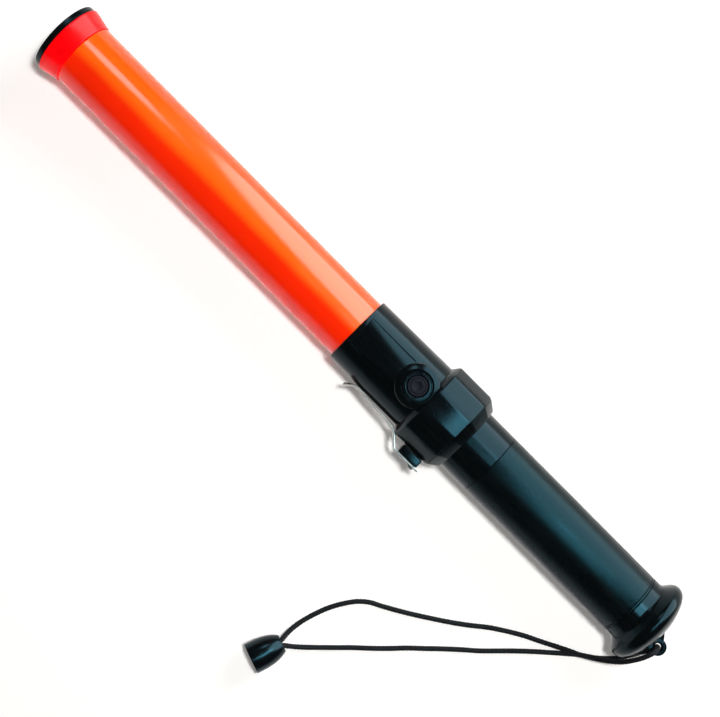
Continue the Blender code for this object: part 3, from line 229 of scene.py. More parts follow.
def along_baton():
    """Maps turned pieces to the frame: local Z runs along the baton, local X points up, local Y to the clip."""
    low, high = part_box("light_tube")
    turn = Matrix(((0, 0, 1), (0, -1, 0), (1, 0, 0))).to_4x4()
    return Matrix.Translation((0, (low.y + high.y) / 2, (low.z + high.z) / 2)) @ turn


def axis_height():
    """The height of the baton's axis above the floor."""
    return along_baton().translation.z


def radius_of(node):
    """The outside radius of a piece that lies along the baton."""
    low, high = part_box(node)
    return (high.z - low.z) / 2


def cross_radius(node):
    """The outside radius of a piece that stands across the baton, upright or to the side."""
    low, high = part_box(node)
    return (high.x - low.x) / 2


def twelve_sided(apothem):
    """The corner radius of a twelve sided outline."""
    return apothem / math.cos(HALF_FACET)


def ramp(value, start, length):
    """Rises from 0 to 1 over a length from a start; a negative length runs the other way."""
    return min(1.0, max(0.0, (value - start) / length))


def upright(station):
    """Local Z points up from the baton's axis at a station."""
    return Matrix.Translation((station, 0, axis_height()))


def outwards(station, height):
    """Local Z points from the axis to the clip's side, at a station and a height above the floor."""
    turn = Vector((0, 0, 1)).rotation_difference(Vector((0, -1, 0))).to_matrix().to_4x4()
    return Matrix.Translation((station, 0, height)) @ turn


def along_bell():
    """Local Z runs from the bell's mouth to its crown."""
    turn = Vector((0, 0, 1)).rotation_difference(BELL_HEADING).to_matrix().to_4x4()
    return Matrix.Translation(BELL_MOUTH) @ turn


def new_object(name, bm, crease=CREASE):
    """An object of a finished bmesh, shaded smooth up to its creases."""
    bmesh.ops.recalc_face_normals(bm, faces=bm.faces)
    mesh = bpy.data.meshes.new(name)
    bm.to_mesh(mesh)
    bm.free()
    mesh.shade_smooth()
    mesh.set_sharp_from_angle(angle=crease)
    obj = bpy.data.objects.new(name, mesh)
    bpy.context.scene.collection.objects.link(obj)
    return obj


def finish_piece(obj, material, body, node):
    """Gives a piece its material and its body, and hides the imported node that it stands for."""
    obj.data.materials.clear()
    obj.data.materials.append(material)
    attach(obj, body)
    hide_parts(node)
    return obj


def rounded(corners, closed, steps):
    """Softens each (radius, station, cut) corner by a curve that starts the cut's length before it."""
    line, count = [], len(corners)
    for i, corner in enumerate(corners):
        point = Vector(corner[:2])
        cut = corner[2] if len(corner) > 2 else 0.0
        if not cut or (not closed and i in (0, count - 1)):
            line.append(point)
            continue
        before, after = Vector(corners[i - 1][:2]), Vector(corners[(i + 1) % count][:2])
        start = point + (before - point).normalized() * cut
        end = point + (after - point).normalized() * cut
        for k in range(steps + 1):
            t = k / steps
            line.append(start * (1 - t) ** 2 + point * 2 * t * (1 - t) + end * t * t)
    return line


def round_edges(bm, offset, segments, wanted=lambda edge: True, least_angle=math.radians(20)):
    """Rounds the sharp edges that are wanted."""
    bmesh.ops.recalc_face_normals(bm, faces=bm.faces)
    sharp = [e for e in bm.edges if len(e.link_faces) == 2 and e.calc_face_angle() > least_angle]
    geom = [e for e in sharp if wanted(e)]
    bmesh.ops.bevel(bm, geom=geom, offset=offset, segments=segments, profile=0.5, affect="EDGES", material=-1)


def runs_along(edge):
    """Whether an edge lies along the axis that a piece is turned on."""
    first, last = (v.co for v in edge.verts)
    return abs((last - first).normalized().z) > 0.98


def turned(name, corners, segments, place, closed=False, steps=3, twist=0.0, bevel=0.0, soften=0.0):
    """Spins an outline round its axis. soften rounds the edges along it, bevel all the sharp ones that are left."""
    bm = bmesh.new()
    line = rounded(corners, closed, steps)
    verts = [bm.verts.new((radius, 0, station)) for radius, station in line]
    edges = [bm.edges.new(pair) for pair in zip(verts, verts[1:])]
    if closed:
        edges.append(bm.edges.new((verts[-1], verts[0])))
    bmesh.ops.spin(
        bm, geom=[*verts, *edges], axis=(0, 0, 1), cent=(0, 0, 0), angle=math.tau, steps=segments, use_merge=True
    )
    bmesh.ops.remove_doubles(bm, verts=bm.verts, dist=1e-7)
    if twist:
        bmesh.ops.rotate(bm, verts=bm.verts, cent=(0, 0, 0), matrix=Matrix.Rotation(twist, 3, "Z"))
    if soften:
        round_edges(bm, soften, 6, runs_along)
    if bevel:
        round_edges(bm, bevel, 3)
    bmesh.ops.transform(bm, matrix=place, verts=bm.verts)
    return new_object(name, bm)


def block(name, low, high, place=Matrix(), bevel=0.0, segments=3):
    """A box from its lowest to its highest corner, with rounded edges."""
    bm = bmesh.new()
    low, high = Vector(low), Vector(high)
    bmesh.ops.create_cube(bm, size=1.0)
    bmesh.ops.scale(bm, vec=high - low, verts=bm.verts)
    bmesh.ops.translate(bm, vec=(low + high) / 2, verts=bm.verts)
    if bevel:
        round_edges(bm, bevel, segments)
    bmesh.ops.transform(bm, matrix=place, verts=bm.verts)
    return new_object(name, bm)


def bake(obj, crease=CREASE):
    """Applies an object's modifiers to its mesh."""
    graph = bpy.context.evaluated_depsgraph_get()
    mesh = bpy.data.meshes.new_from_object(obj.evaluated_get(graph))
    mesh.name = obj.name
    mesh.shade_smooth()
    mesh.set_sharp_from_angle(angle=crease)
    obj.modifiers.clear()
    obj.data = mesh
    return obj


def shaped(obj, joined=(), cut=(), within=()):
    """Joins an object with others, cuts it by some or keeps what is within them, then removes them."""
    others = [(other, "UNION") for other in joined] + [(other, "DIFFERENCE") for other in cut]
    others += [(other, "INTERSECT") for other in within]
    for other, operation in others:
        modifier = obj.modifiers.new(other.name, "BOOLEAN")
        modifier.operation = operation
        modifier.solver = "EXACT"
        modifier.object = other
    bake(obj)
    for other, _ in others:
        bpy.data.objects.remove(other, do_unlink=True)
    return obj


# The Mix node's colour sockets, which share their names with its number sockets
COLOR_A, COLOR_B, COLOR_MIXED = 6, 7, 2


class Wiring:
    """A node tree under construction."""

    def __init__(self, tree):
        self.tree = tree

    def add(self, kind, links=None, **values):
        """Adds a node with its properties, and fills its sockets with links or plain values."""
        node = self.tree.nodes.new(kind)
        for key, value in values.items():
            setattr(node, key, value)
        for socket, value in (links or {}).items():
            if isinstance(value, bpy.types.NodeSocket):
                self.tree.links.new(value, node.inputs[socket])
            else:
                node.inputs[socket].default_value = value
        return node

    def spread(self, value, low, high, into=(0.0, 1.0)):
        """Maps a value from low and high into a range."""
        links = {"Value": value, "From Min": low, "From Max": high, "To Min": into[0], "To Max": into[1]}
        return self.add("ShaderNodeMapRange", links).outputs["Result"]

    def blend(self, share, first, second):
        """Mixes two colours or colour outputs by a share."""
        whole = [c if isinstance(c, bpy.types.NodeSocket) else (*c, 1.0) for c in (first, second)]
        links = {"Factor": share, COLOR_A: whole[0], COLOR_B: whole[1]}
        return self.add("ShaderNodeMix", links, data_type="RGBA").outputs[COLOR_MIXED]

    def worked(self, kind, first, second=0.0):
        """One step of arithmetic on two values."""
        return self.add("ShaderNodeMath", {0: first, 1: second}, operation=kind).outputs[0]


class Finish(Wiring):
    """A node material under construction: a Principled shader with its textures."""

    def __init__(self, name, color, roughness, metallic=0.0):
        self.material = bpy.data.materials.new(name)
        self.material.use_nodes = True
        super().__init__(self.material.node_tree)
        self.shader = self.tree.nodes["Principled BSDF"]
        self.set("Base Color", (*color, 1.0))
        self.set("Roughness", roughness)
        self.set("Metallic", metallic)
        self.place = self.add("ShaderNodeTexCoord").outputs["Object"]
        self.relief = None

    def set(self, socket, value):
        self.shader.inputs[socket].default_value = value

    def link(self, output, socket):
        self.tree.links.new(output, self.shader.inputs[socket])

    def stretched(self, scale):
        """Object coordinates stretched along an axis, for streaks."""
        return self.add("ShaderNodeMapping", {"Vector": self.place, "Scale": scale}).outputs["Vector"]

    def noise(self, scale, detail=2.0, roughness=0.5, place=None):
        links = {"Vector": place or self.place, "Scale": scale, "Detail": detail, "Roughness": roughness}
        return self.add("ShaderNodeTexNoise", links).outputs["Fac"]

    def cells(self, scale):
        return self.add("ShaderNodeTexVoronoi", {"Vector": self.place, "Scale": scale}).outputs["Distance"]

    def translucent_with_painted_glow(self, ior, depths, glow):
        """Makes the plastic translucent, with the depth that each colour of light reaches, and an emission colour for
        a painted glow that stands in for light scattered in the plastic.
        """
        self.set("IOR", ior)
        self.set("Subsurface Weight", 0.1)
        self.set("Subsurface Radius", depths)
        self.set("Subsurface Scale", 1.0)
        self.set("Emission Color", (*glow, 1.0))

    def colors(self, value, low, high, first, second):
        """Colours the surface from one colour to another as a value goes from low to high."""
        self.link(self.blend(self.spread(value, low, high), first, second), "Base Color")

    def gloss(self, value, smooth, rough, low=0.3, high=0.7):
        """Varies the roughness from smooth to rough as a value goes from low to high."""
        self.link(self.spread(value, low, high, (smooth, rough)), "Roughness")

    def bump(self, height, depth, strength=1.0):
        """Adds relief over whatever relief the finish has so far."""
        links = {"Height": height, "Distance": depth, "Strength": strength}
        if self.relief:
            links["Normal"] = self.relief
        self.relief = self.add("ShaderNodeBump", links).outputs["Normal"]
        self.link(self.relief, "Normal")


def once(maker):
    """Keeps one material for each maker, whichever operator asks for it first."""

    def made():
        name = f"baton_{maker.__name__}"
        return bpy.data.materials.get(name) or maker(name, bpy.context.scene.baton)

    return made


def moulded(name, color, sheen, roughness, grain, grain_depth):
    """Moulded plastic: fine grain, flow marks and faint scuffs."""
    finish = Finish(name, color, roughness)
    finish.set("Specular Tint", (*sheen, 1.0))
    wide = finish.noise(38, 3)
    scuffs = finish.noise(260, 4, 0.6, finish.stretched((0.18, 1.0, 1.0)))
    lighter = [min(1.0, c * 1.6 + 0.0004) for c in color]
    finish.colors(scuffs, 0.45, 0.8, color, lighter)
    mixed = finish.worked("ADD", wide, finish.worked("MULTIPLY", scuffs, 0.6))
    finish.gloss(mixed, roughness - 0.05, roughness + 0.07, 0.5, 1.2)
    finish.bump(finish.noise(grain, 3, 0.6), grain_depth)
    return finish


@once
def black_plastic(name, settings):
    """Satin black plastic of the head, the handle's neck and the tail cap."""
    finish = moulded(name, settings.plastic_color, settings.plastic_sheen, 0.18, 2600, 0.000012)
    finish.set("IOR", 1.25)
    return finish.material


@once
def polished_black(name, settings):
    """The bell's glossier plastic."""
    finish = moulded(name, settings.plastic_color, settings.plastic_sheen, 0.18, 1200, 0.000006)
    finish.set("IOR", 1.32)
    return finish.material


@once
def grip_rubber(name, settings):
    """Rubberised grip with a fine leathery grain."""
    finish = moulded(name, settings.plastic_color, settings.grip_sheen, 0.28, 900, 0.00002)
    finish.set("IOR", 1.25)
    finish.bump(finish.cells(1500), 0.00006, 0.7)
    finish.bump(finish.noise(5200, 2), 0.00002)
    return finish.material


@once
def black_rubber(name, settings):
    """Dull soft rubber of the button and the tube's seal."""
    finish = moulded(name, (0.004, 0.004, 0.006), (0.8, 0.8, 1.0), 0.62, 1800, 0.00002)
    finish.set("IOR", 1.2)
    finish.bump(finish.cells(3200), 0.00003, 0.5)
    return finish.material


@once
def orange_tube(name, settings):
    """Translucent tube with a painted glow, and painted light and shade: the side away from the clip is coloured as
    lit, the clip's side as shaded.
    """
    finish = Finish(name, settings.tube_color, 0.14)
    finish.translucent_with_painted_glow(1.46, (0.008, 0.0012, 0.0003), (1.0, 0.006, 0.0))
    lines = finish.noise(240, 3, 0.6, finish.stretched((0.01, 1.0, 1.0)))
    clouds = finish.noise(22, 2)
    shade = finish.worked("ADD", finish.worked("MULTIPLY", lines, 0.7), finish.worked("MULTIPLY", clouds, 0.3))
    # Painted light and shade: the side away from the clip gets the lit colour, the clip's side the colour in painted
    # shade.
    across = finish.add("ShaderNodeSeparateXYZ", {"Vector": finish.place}).outputs["Y"]
    across = finish.worked("ADD", across, finish.spread(clouds, 0.3, 0.7, (-0.0006, 0.0006)))
    half = finish.add(
        "ShaderNodeMapRange",
        {"Value": across, "From Min": -0.0070, "From Max": 0.0016},
        interpolation_type="SMOOTHSTEP",
    ).outputs["Result"]
    lit, deep = (
        finish.blend(finish.spread(shade, 0.3, 0.7), [c * dimmed for c in color], color)
        for color, dimmed in ((settings.tube_color, 0.85), (settings.shaded_tube_color, 0.88))
    )
    finish.link(finish.blend(half, deep, lit), "Base Color")
    # Painted glow: emission that stands in for light scattered in the plastic, varying with the random flow lines and
    # clouds.
    finish.link(finish.spread(shade, 0.3, 0.7, (0.19, 0.25)), "Emission Strength")
    finish.gloss(clouds, 0.13, 0.19)
    finish.bump(lines, 0.00001)
    return finish.material


@once
def red_plastic(name, settings):
    """Translucent red plastic of the flared cap, with a faint painted glow that stands in for light scattered in the
    plastic.
    """
    finish = Finish(name, settings.cap_color, 0.22)
    finish.translucent_with_painted_glow(1.28, (0.006, 0.0006, 0.0004), (1.0, 0.0, 0.002))
    clouds = finish.noise(90, 3)
    deep = [c * 0.8 for c in settings.cap_color]
    finish.colors(clouds, 0.3, 0.7, deep, settings.cap_color)
    # Painted glow: emission that stands in for light scattered in the plastic, varying with the random clouds.
    finish.link(finish.spread(clouds, 0.3, 0.7, (0.3, 0.4)), "Emission Strength")
    finish.gloss(clouds, 0.18, 0.26)
    finish.bump(finish.noise(1400, 2), 0.000008)
    return finish.material


@once
def braid(name, settings):
    """Braided polyester: yarns run one way or the other from crossing to crossing."""
    finish = Finish(name, (0.010, 0.010, 0.012), 0.6)
    along = finish.add("ShaderNodeUVMap", uv_map="UVMap").outputs["UV"]
    fibers = []
    for lean in (-1, 1):
        turn = finish.add("ShaderNodeMapping", {"Vector": along, "Rotation": (0, 0, lean * math.radians(38))})
        wave = {"Vector": turn.outputs["Vector"], "Scale": 420.0, "Distortion": 1.2, "Detail": 2.0}
        fibers.append(finish.add("ShaderNodeTexWave", wave).outputs["Fac"])
    check = {"Vector": along, "Scale": 2 / settings.braid_pitch}
    share = finish.add("ShaderNodeTexChecker", check).outputs["Fac"]
    mixed = finish.add("ShaderNodeMix", {"Factor": share, "A": fibers[0], "B": fibers[1]}).outputs["Result"]
    dark, light = (0.002, 0.002, 0.0025), (0.009, 0.010, 0.012)
    finish.colors(mixed, 0.1, 0.9, dark, light)
    finish.gloss(mixed, 0.72, 0.5, 0.0, 1.0)
    finish.bump(mixed, 0.00006)
    finish.bump(finish.noise(5000, 3), 0.00003)
    finish.set("Sheen Weight", 0.04)
    finish.set("Sheen Roughness", 0.4)
    finish.set("Specular IOR Level", 0.12)
    return finish.material


@once
def clip_steel(name, settings):
    """Plated spring steel with a brushed direction and a few dull patches."""
    finish = Finish(name, (0.30, 0.29, 0.28), 0.3, 1.0)
    brushed = finish.noise(900, 4, 0.6, finish.stretched((0.04, 1.0, 1.0)))
    patches = finish.noise(140, 4, 0.6)
    finish.colors(patches, 0.4, 0.75, (0.33, 0.32, 0.30), (0.13, 0.12, 0.11))
    finish.gloss(brushed, 0.22, 0.40)
    finish.bump(brushed, 0.000008)
    return finish.material


@once
def brass(name, settings):
    """Stamped contact brass with brown stains."""
    finish = Finish(name, (0.75, 0.53, 0.20), 0.28, 1.0)
    stain = finish.noise(320, 4, 0.6)
    finish.colors(stain, 0.45, 0.75, (0.78, 0.56, 0.22), (0.42, 0.26, 0.10))
    finish.gloss(stain, 0.2, 0.42)
    finish.bump(finish.noise(2400, 2), 0.000006)
    return finish.material


@once
def white_plastic(name, settings):
    """Plain moulded plastic of the carriers and holders inside."""
    return moulded(name, (0.72, 0.71, 0.67), (1.0, 1.0, 1.0), 0.42, 2200, 0.00001).material


@once
def board_green(name, settings):
    """Solder mask over copper tracks, with the glass weave just showing."""
    finish = Finish(name, (0.02, 0.14, 0.05), 0.35)
    brick = finish.add(
        "ShaderNodeTexBrick",
        {"Vector": finish.place, "Scale": 260.0, "Mortar Size": 0.06, "Brick Width": 1.6, "Row Height": 0.5},
    )
    tracks = brick.outputs["Fac"]
    finish.link(finish.blend(tracks, (0.012, 0.10, 0.035), (0.05, 0.26, 0.07)), "Base Color")
    weave = finish.add("ShaderNodeTexWave", {"Vector": finish.place, "Scale": 900.0, "Distortion": 0.4})
    finish.bump(tracks, 0.00003)
    finish.bump(weave.outputs["Fac"], 0.00001, 0.5)
    return finish.material


@once
def red_lens(name, settings):
    """Clear red epoxy of a lamp that glows faintly."""
    finish = Finish(name, (0.80, 0.02, 0.02), 0.08)
    finish.set("Transmission Weight", 0.5)
    finish.set("IOR", 1.5)
    finish.set("Emission Color", (1.0, 0.05, 0.02, 1.0))
    finish.set("Emission Strength", 0.6)
    finish.gloss(finish.noise(900, 2), 0.05, 0.14)
    return finish.material


@once
def cell_sleeve(name, settings):
    """Plain sleeve of a dry cell: a copper coloured band at one end and a dark one."""
    copper, dark, copper_share = (0.66, 0.42, 0.16), (0.016, 0.016, 0.018), 0.30
    finish = Finish(name, dark, 0.3, 0.6)
    low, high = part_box("battery_front")
    split = finish.add("ShaderNodeSeparateXYZ", {"Vector": finish.place}).outputs["X"]
    pitch = high.x - low.x + GAP
    share = finish.worked("MODULO", finish.worked("DIVIDE", finish.worked("SUBTRACT", split, low.x), pitch), 1.0)
    finish.colors(share, copper_share, copper_share + 0.01, copper, dark)
    finish.gloss(finish.noise(180, 3), 0.22, 0.36)
    finish.bump(finish.noise(1500, 2), 0.000006)
    return finish.material


def wire_finish(name, color):
    """Glossy insulation with rubbed marks."""
    finish = Finish(name, color, 0.4)
    marks = finish.noise(1600, 3)
    finish.colors(marks, 0.35, 0.7, color, [c * 0.6 for c in color])
    finish.gloss(marks, 0.34, 0.5)
    finish.bump(marks, 0.00001)
    return finish.material


@once
def red_wire(name, settings):
    return wire_finish(name, (0.60, 0.02, 0.02))


@once
def black_wire(name, settings):
    return wire_finish(name, (0.015, 0.015, 0.016))


class BATON_OT_stage(Operator):
    """Set the camera, the soft studio light and the pale floor"""

    bl_idname = "baton.stage"
    bl_label = "Camera and Studio"

    def execute(self, context):
        self.camera(context)
        self.floor()
        self.lights(context)
        self.surroundings(context)
        return {"FINISHED"}

    def camera(self, context):
        """A camera almost overhead, rolled so that the baton lies from corner to corner."""
        lens = bpy.data.cameras.new("camera")
        lens.lens, lens.sensor_width, lens.clip_start = 77.4, 36.0, 0.01
        camera = bpy.data.objects.new("camera", lens)
        context.scene.collection.objects.link(camera)
        context.scene.camera = camera
        height, roll, distance = math.radians(86.4), math.radians(45.15), 0.97
        back = Vector((0, -math.cos(height), math.sin(height)))
        side = Vector((0, math.sin(height), math.cos(height)))
        ahead = Vector((1, 0, 0))
        right = ahead * math.cos(roll) + side * math.sin(roll)
        up = side * math.cos(roll) - ahead * math.sin(roll)
        target = Vector((-0.0621, -0.0113, axis_height()))
        turn = Matrix((right, up, back)).transposed().to_4x4()
        camera.matrix_world = Matrix.Translation(target + back * distance) @ turn

    def floor(self):
        """A white sweep that keeps the baton's shadow. A little of its white is only seen and lights nothing."""
        bm = bmesh.new()
        bmesh.ops.create_grid(bm, x_segments=2, y_segments=2, size=4.0)
        floor = new_object("floor", bm)
        finish, own_white = Finish("white_floor", (0.93, 0.925, 0.915), 0.9), 0.22
        finish.set("Specular IOR Level", 0.0)
        finish.set("Emission Color", (1.0, 0.97, 0.94, 1.0))
        rays = finish.add("ShaderNodeLightPath").outputs
        seen = finish.worked("MAXIMUM", rays["Is Camera Ray"], rays["Is Glossy Ray"])
        seen = finish.worked("MAXIMUM", seen, rays["Is Transmission Ray"])
        finish.link(finish.worked("MULTIPLY", seen, own_white), "Emission Strength")
        floor.data.materials.append(finish.material)

    def lights(self, context):
        """A small lamp overhead and a low key for the colours, and three softboxes that only show as gloss."""
        self.lamp(context, "overhead", (0.02, 0.10, 1.37), 15.8, (0.14, 0.14), (1.0, 0.995, 0.985), glossy=False)
        self.lamp(context, "key", (0.10, 1.15, 0.95), 6.0, (0.5, 0.5), (1.0, 1.0, 0.99), glossy=False)
        self.softbox(context, "side_softbox", 61.3, 0.445, -0.3, 103.0, (1.8, 3.12), (0.94, 0.98, 1.0), "ELLIPSE")
        self.softbox(context, "tip_softbox", 33.0, -0.82, 0.0, 3.4, (0.42, 0.44), (0.94, 0.98, 1.0), "ELLIPSE")
        self.softbox(context, "top_softbox", 8.5, 0.355, 0.0, 10.8, (0.31, 0.76), (0.55, 0.92, 1.0))

    def softbox(self, context, name, lean, along, rise, power, size, color, shape="RECTANGLE"):
        """A lamp that leans away from upright towards +Y, moved along the baton and up its own plane."""
        lean, distance = math.radians(lean), 1.29
        away, up = Vector((0, math.sin(lean), math.cos(lean))), Vector((0, -math.cos(lean), math.sin(lean)))
        place = Vector((along, 0, 0)) + away * distance + up * rise
        lamp = self.lamp(context, name, place, power, size, color)
        lamp.data.shape = shape
        lamp.rotation_euler = Matrix((Vector((-1, 0, 0)), up, away)).transposed().to_euler()
        lamp.visible_diffuse = False

    def lamp(self, context, name, place, power, size, color, glossy=True):
        """An area lamp that shines at the origin."""
        light = bpy.data.lights.new(name, "AREA")
        light.shape = "RECTANGLE"
        light.size, light.size_y = size
        light.energy = power
        light.color = color
        lamp = bpy.data.objects.new(name, light)
        context.scene.collection.objects.link(lamp)
        lamp.location = place
        lamp.rotation_euler = Vector(place).to_track_quat("Z", "Y").to_euler()
        lamp.visible_glossy = glossy
        return lamp

    def surroundings(self, context):
        """A dim room round a white backdrop: the camera sees it whole, gloss and glass along the horizon."""
        world = bpy.data.worlds.new("studio")
        context.scene.world = world
        world.use_nodes = True
        sky, faded, full = Wiring(world.node_tree), 0.1, 0.0
        rays = sky.add("ShaderNodeLightPath").outputs
        height = sky.add("ShaderNodeSeparateXYZ", {0: sky.add("ShaderNodeTexCoord").outputs["Generated"]})
        share = sky.spread(height.outputs["Z"], faded, full)
        mirrored = sky.worked("MAXIMUM", rays["Is Glossy Ray"], rays["Is Transmission Ray"])
        seen = sky.worked("MAXIMUM", rays["Is Camera Ray"], sky.worked("MULTIPLY", mirrored, share))
        color = sky.blend(seen, (0.03, 0.03, 0.03), (1.0, 1.0, 1.0))
        sky.tree.links.new(color, sky.tree.nodes["Background"].inputs["Color"])
        context.scene.view_settings.view_transform = "Standard"


def smooth_line(points, step, fineness=24):
    """Even points along a Catmull-Rom curve through the given ones."""
    ends = [Vector(p) for p in points]
    ends = [2 * ends[0] - ends[1], *ends, 2 * ends[-1] - ends[-2]]
    fine = []
    for a, b, c, d in zip(ends, ends[1:], ends[2:], ends[3:]):
        for i in range(fineness):
            t = i / fineness
            square = (2 * a - 5 * b + 4 * c - d) * t**2
            cube = (3 * b - a - 3 * c + d) * t**3
            fine.append((2 * b + (c - a) * t + square + cube) / 2)
    fine.append(ends[-2])
    along = [0.0]
    for a, b in zip(fine, fine[1:]):
        along.append(along[-1] + (b - a).length)
    count = max(2, round(along[-1] / step)) + 1
    line, i = [], 0
    for k in range(count):
        want = along[-1] * k / (count - 1)
        while i < len(fine) - 2 and along[i + 1] < want:
            i += 1
        share = (want - along[i]) / max(along[i + 1] - along[i], 1e-9)
        line.append(fine[i].lerp(fine[i + 1], min(max(share, 0.0), 1.0)))
    return line


def frames_along(line):
    """A side and an upward direction for each point of a line, turned as little as possible between them."""
    ahead = [(line[min(i + 1, len(line) - 1)] - line[max(i - 1, 0)]).normalized() for i in range(len(line))]
    side = ahead[0].orthogonal().normalized()
    frames = []
    for i, direction in enumerate(ahead):
        if i:
            side = ahead[i - 1].rotation_difference(direction) @ side
        side = (side - direction * side.dot(direction)).normalized()
        frames.append((side, direction.cross(side)))
    return frames


def tube_along(name, line, around, radius_at):
    """A closed tube along a line. radius_at gives its radius at a distance along and an angle."""
    bm = bmesh.new()
    uv = bm.loops.layers.uv.new("UVMap")
    rings, distance, places = [], 0.0, []
    for i, (point, (side, up)) in enumerate(zip(line, frames_along(line))):
        distance += (point - line[i - 1]).length if i else 0.0
        places.append(distance)
        ring = []
        for k in range(around):
            angle = math.tau * k / around
            radius = radius_at(distance, angle)
            ring.append(bm.verts.new(point + (side * math.cos(angle) + up * math.sin(angle)) * radius))
        rings.append(ring)
    girth = math.tau * CORD_RADIUS
    for i, (a, b) in enumerate(zip(rings, rings[1:])):
        for k in range(around):
            face = bm.faces.new((a[k], a[(k + 1) % around], b[(k + 1) % around], b[k]))
            corners = ((places[i], k), (places[i], k + 1), (places[i + 1], k + 1), (places[i + 1], k))
            for loop, (u, v) in zip(face.loops, corners):
                loop[uv].uv = (u, girth * v / around)
    for ring in (rings[0], rings[-1]):
        bm.faces.new(ring)
    return new_object(name, bm, SOFT_CREASE)


class BATON_OT_lanyard(Operator):
    """Braid the lanyard's two strands and turn the bell and the knot they end in"""

    bl_idname = "baton.lanyard"
    bl_label = "Lanyard"

    def execute(self, context):
        settings = context.scene.baton
        bell, knot = self.bell(settings), self.knot()
        self.strand("strand_upper", STRAND_A, 1, -1, "lanyard_strand_a", [bell, knot], settings)
        self.strand("strand_lower", STRAND_B, -1, 1, "lanyard_strand_b", [bell, knot], settings)
        return {"FINISHED"}

    def bell_place(self, depth, side):
        """A point at a depth from the bell's mouth, a step to the side of its axis."""
        across = BELL_HEADING.cross(Vector((0, 0, 1))).normalized()
        return BELL_MOUTH + BELL_HEADING * depth + across * side

    def knot_depth(self):
        """How deep in the bell the knot's middle lies when the knot is pulled up to the crown's hole."""
        seat = KNOT_LENGTH / 2 * math.sqrt(1 - (BELL_ENTRY_RADIUS / KNOT_RADIUS) ** 2)
        return BELL_LENGTH - BELL_CROWN - GAP - seat

    def strand(self, name, route, up, side, node, pieces, settings):
        """One strand, from the middle of the eye through the crown of the bell to the knot."""
        x, y, _ = route[0]
        first = Vector((x, y, axis_height() + up * GAP / 2))
        end = self.knot_depth() + KNOT_LENGTH / 2 + GAP
        last = self.bell_place(end, side * STRAND_SPREAD)
        route = [first, *route, self.bell_place(BELL_LENGTH + GAP, side * STRAND_SPREAD), last]
        bumps, pitch, relief = settings.braid_bumps, settings.braid_pitch, settings.braid_relief
        line, plumpness = smooth_line(route, pitch / 6), 0.7

        def radius_at(distance, angle):
            turn, along = bumps * angle / math.tau, distance / pitch
            bump = math.sin(math.pi * (turn + along)) * math.sin(math.pi * (turn - along))
            return CORD_RADIUS - relief * (1 - abs(bump) ** plumpness)

        cord = tube_along(name, line, 4 * bumps, radius_at)
        finish_piece(cord, braid(), "tail_cap", node)

    def bell(self, settings):
        """The bell: a shell that narrows ever faster towards its crown, where the cord goes in."""
        crown, inside = BELL_ENTRY_RADIUS + BELL_WALL, BELL_LENGTH - BELL_CROWN
        fullness, steps, inner_steps = 3.2, 24, 18

        def outline(share):
            return crown + (BELL_MOUTH_RADIUS - crown) * (1 - share**fullness)

        outer = [(outline(i / steps), BELL_LENGTH * i / steps) for i in range(steps, -1, -1)]
        depths = [inside * i / inner_steps for i in range(inner_steps + 1)]
        inner = [(outline(depth / BELL_LENGTH) - BELL_WALL, depth) for depth in depths]
        outer[0] = (*outer[0], 0.0007)
        outer[-1] = (*outer[-1], 0.0005)
        inner[0] = (*inner[0], 0.0004)
        hole = [(BELL_ENTRY_RADIUS, inside), (BELL_ENTRY_RADIUS, BELL_LENGTH, 0.0006)]
        corners = [*outer, *inner, *hole]
        bell = turned("bell", corners, settings.segments, along_bell(), closed=True)
        return finish_piece(bell, polished_black(), "tail_cap", "cord_bell")

    def knot(self):
        """The pulled knot: a lump whose strands wind round it."""
        middle, half, steps = self.knot_depth(), KNOT_LENGTH / 2, 40
        winding, valley, blunt = 0.0016, 0.86, 0.995
        axis = [self.bell_place(middle - half + KNOT_LENGTH * i / steps, 0.0) for i in range(steps + 1)]

        def radius_at(distance, angle):
            share = min(max((distance - half) / half, -blunt), blunt)
            body = KNOT_RADIUS * math.sqrt(1 - share * share)
            wrap = abs(math.sin(1.5 * angle + distance / winding))
            return body * (valley + (1 - valley) * wrap**0.6)

        knot = tube_along("knot", axis, 48, radius_at)
        return finish_piece(knot, braid(), "tail_cap", "cord_knot")


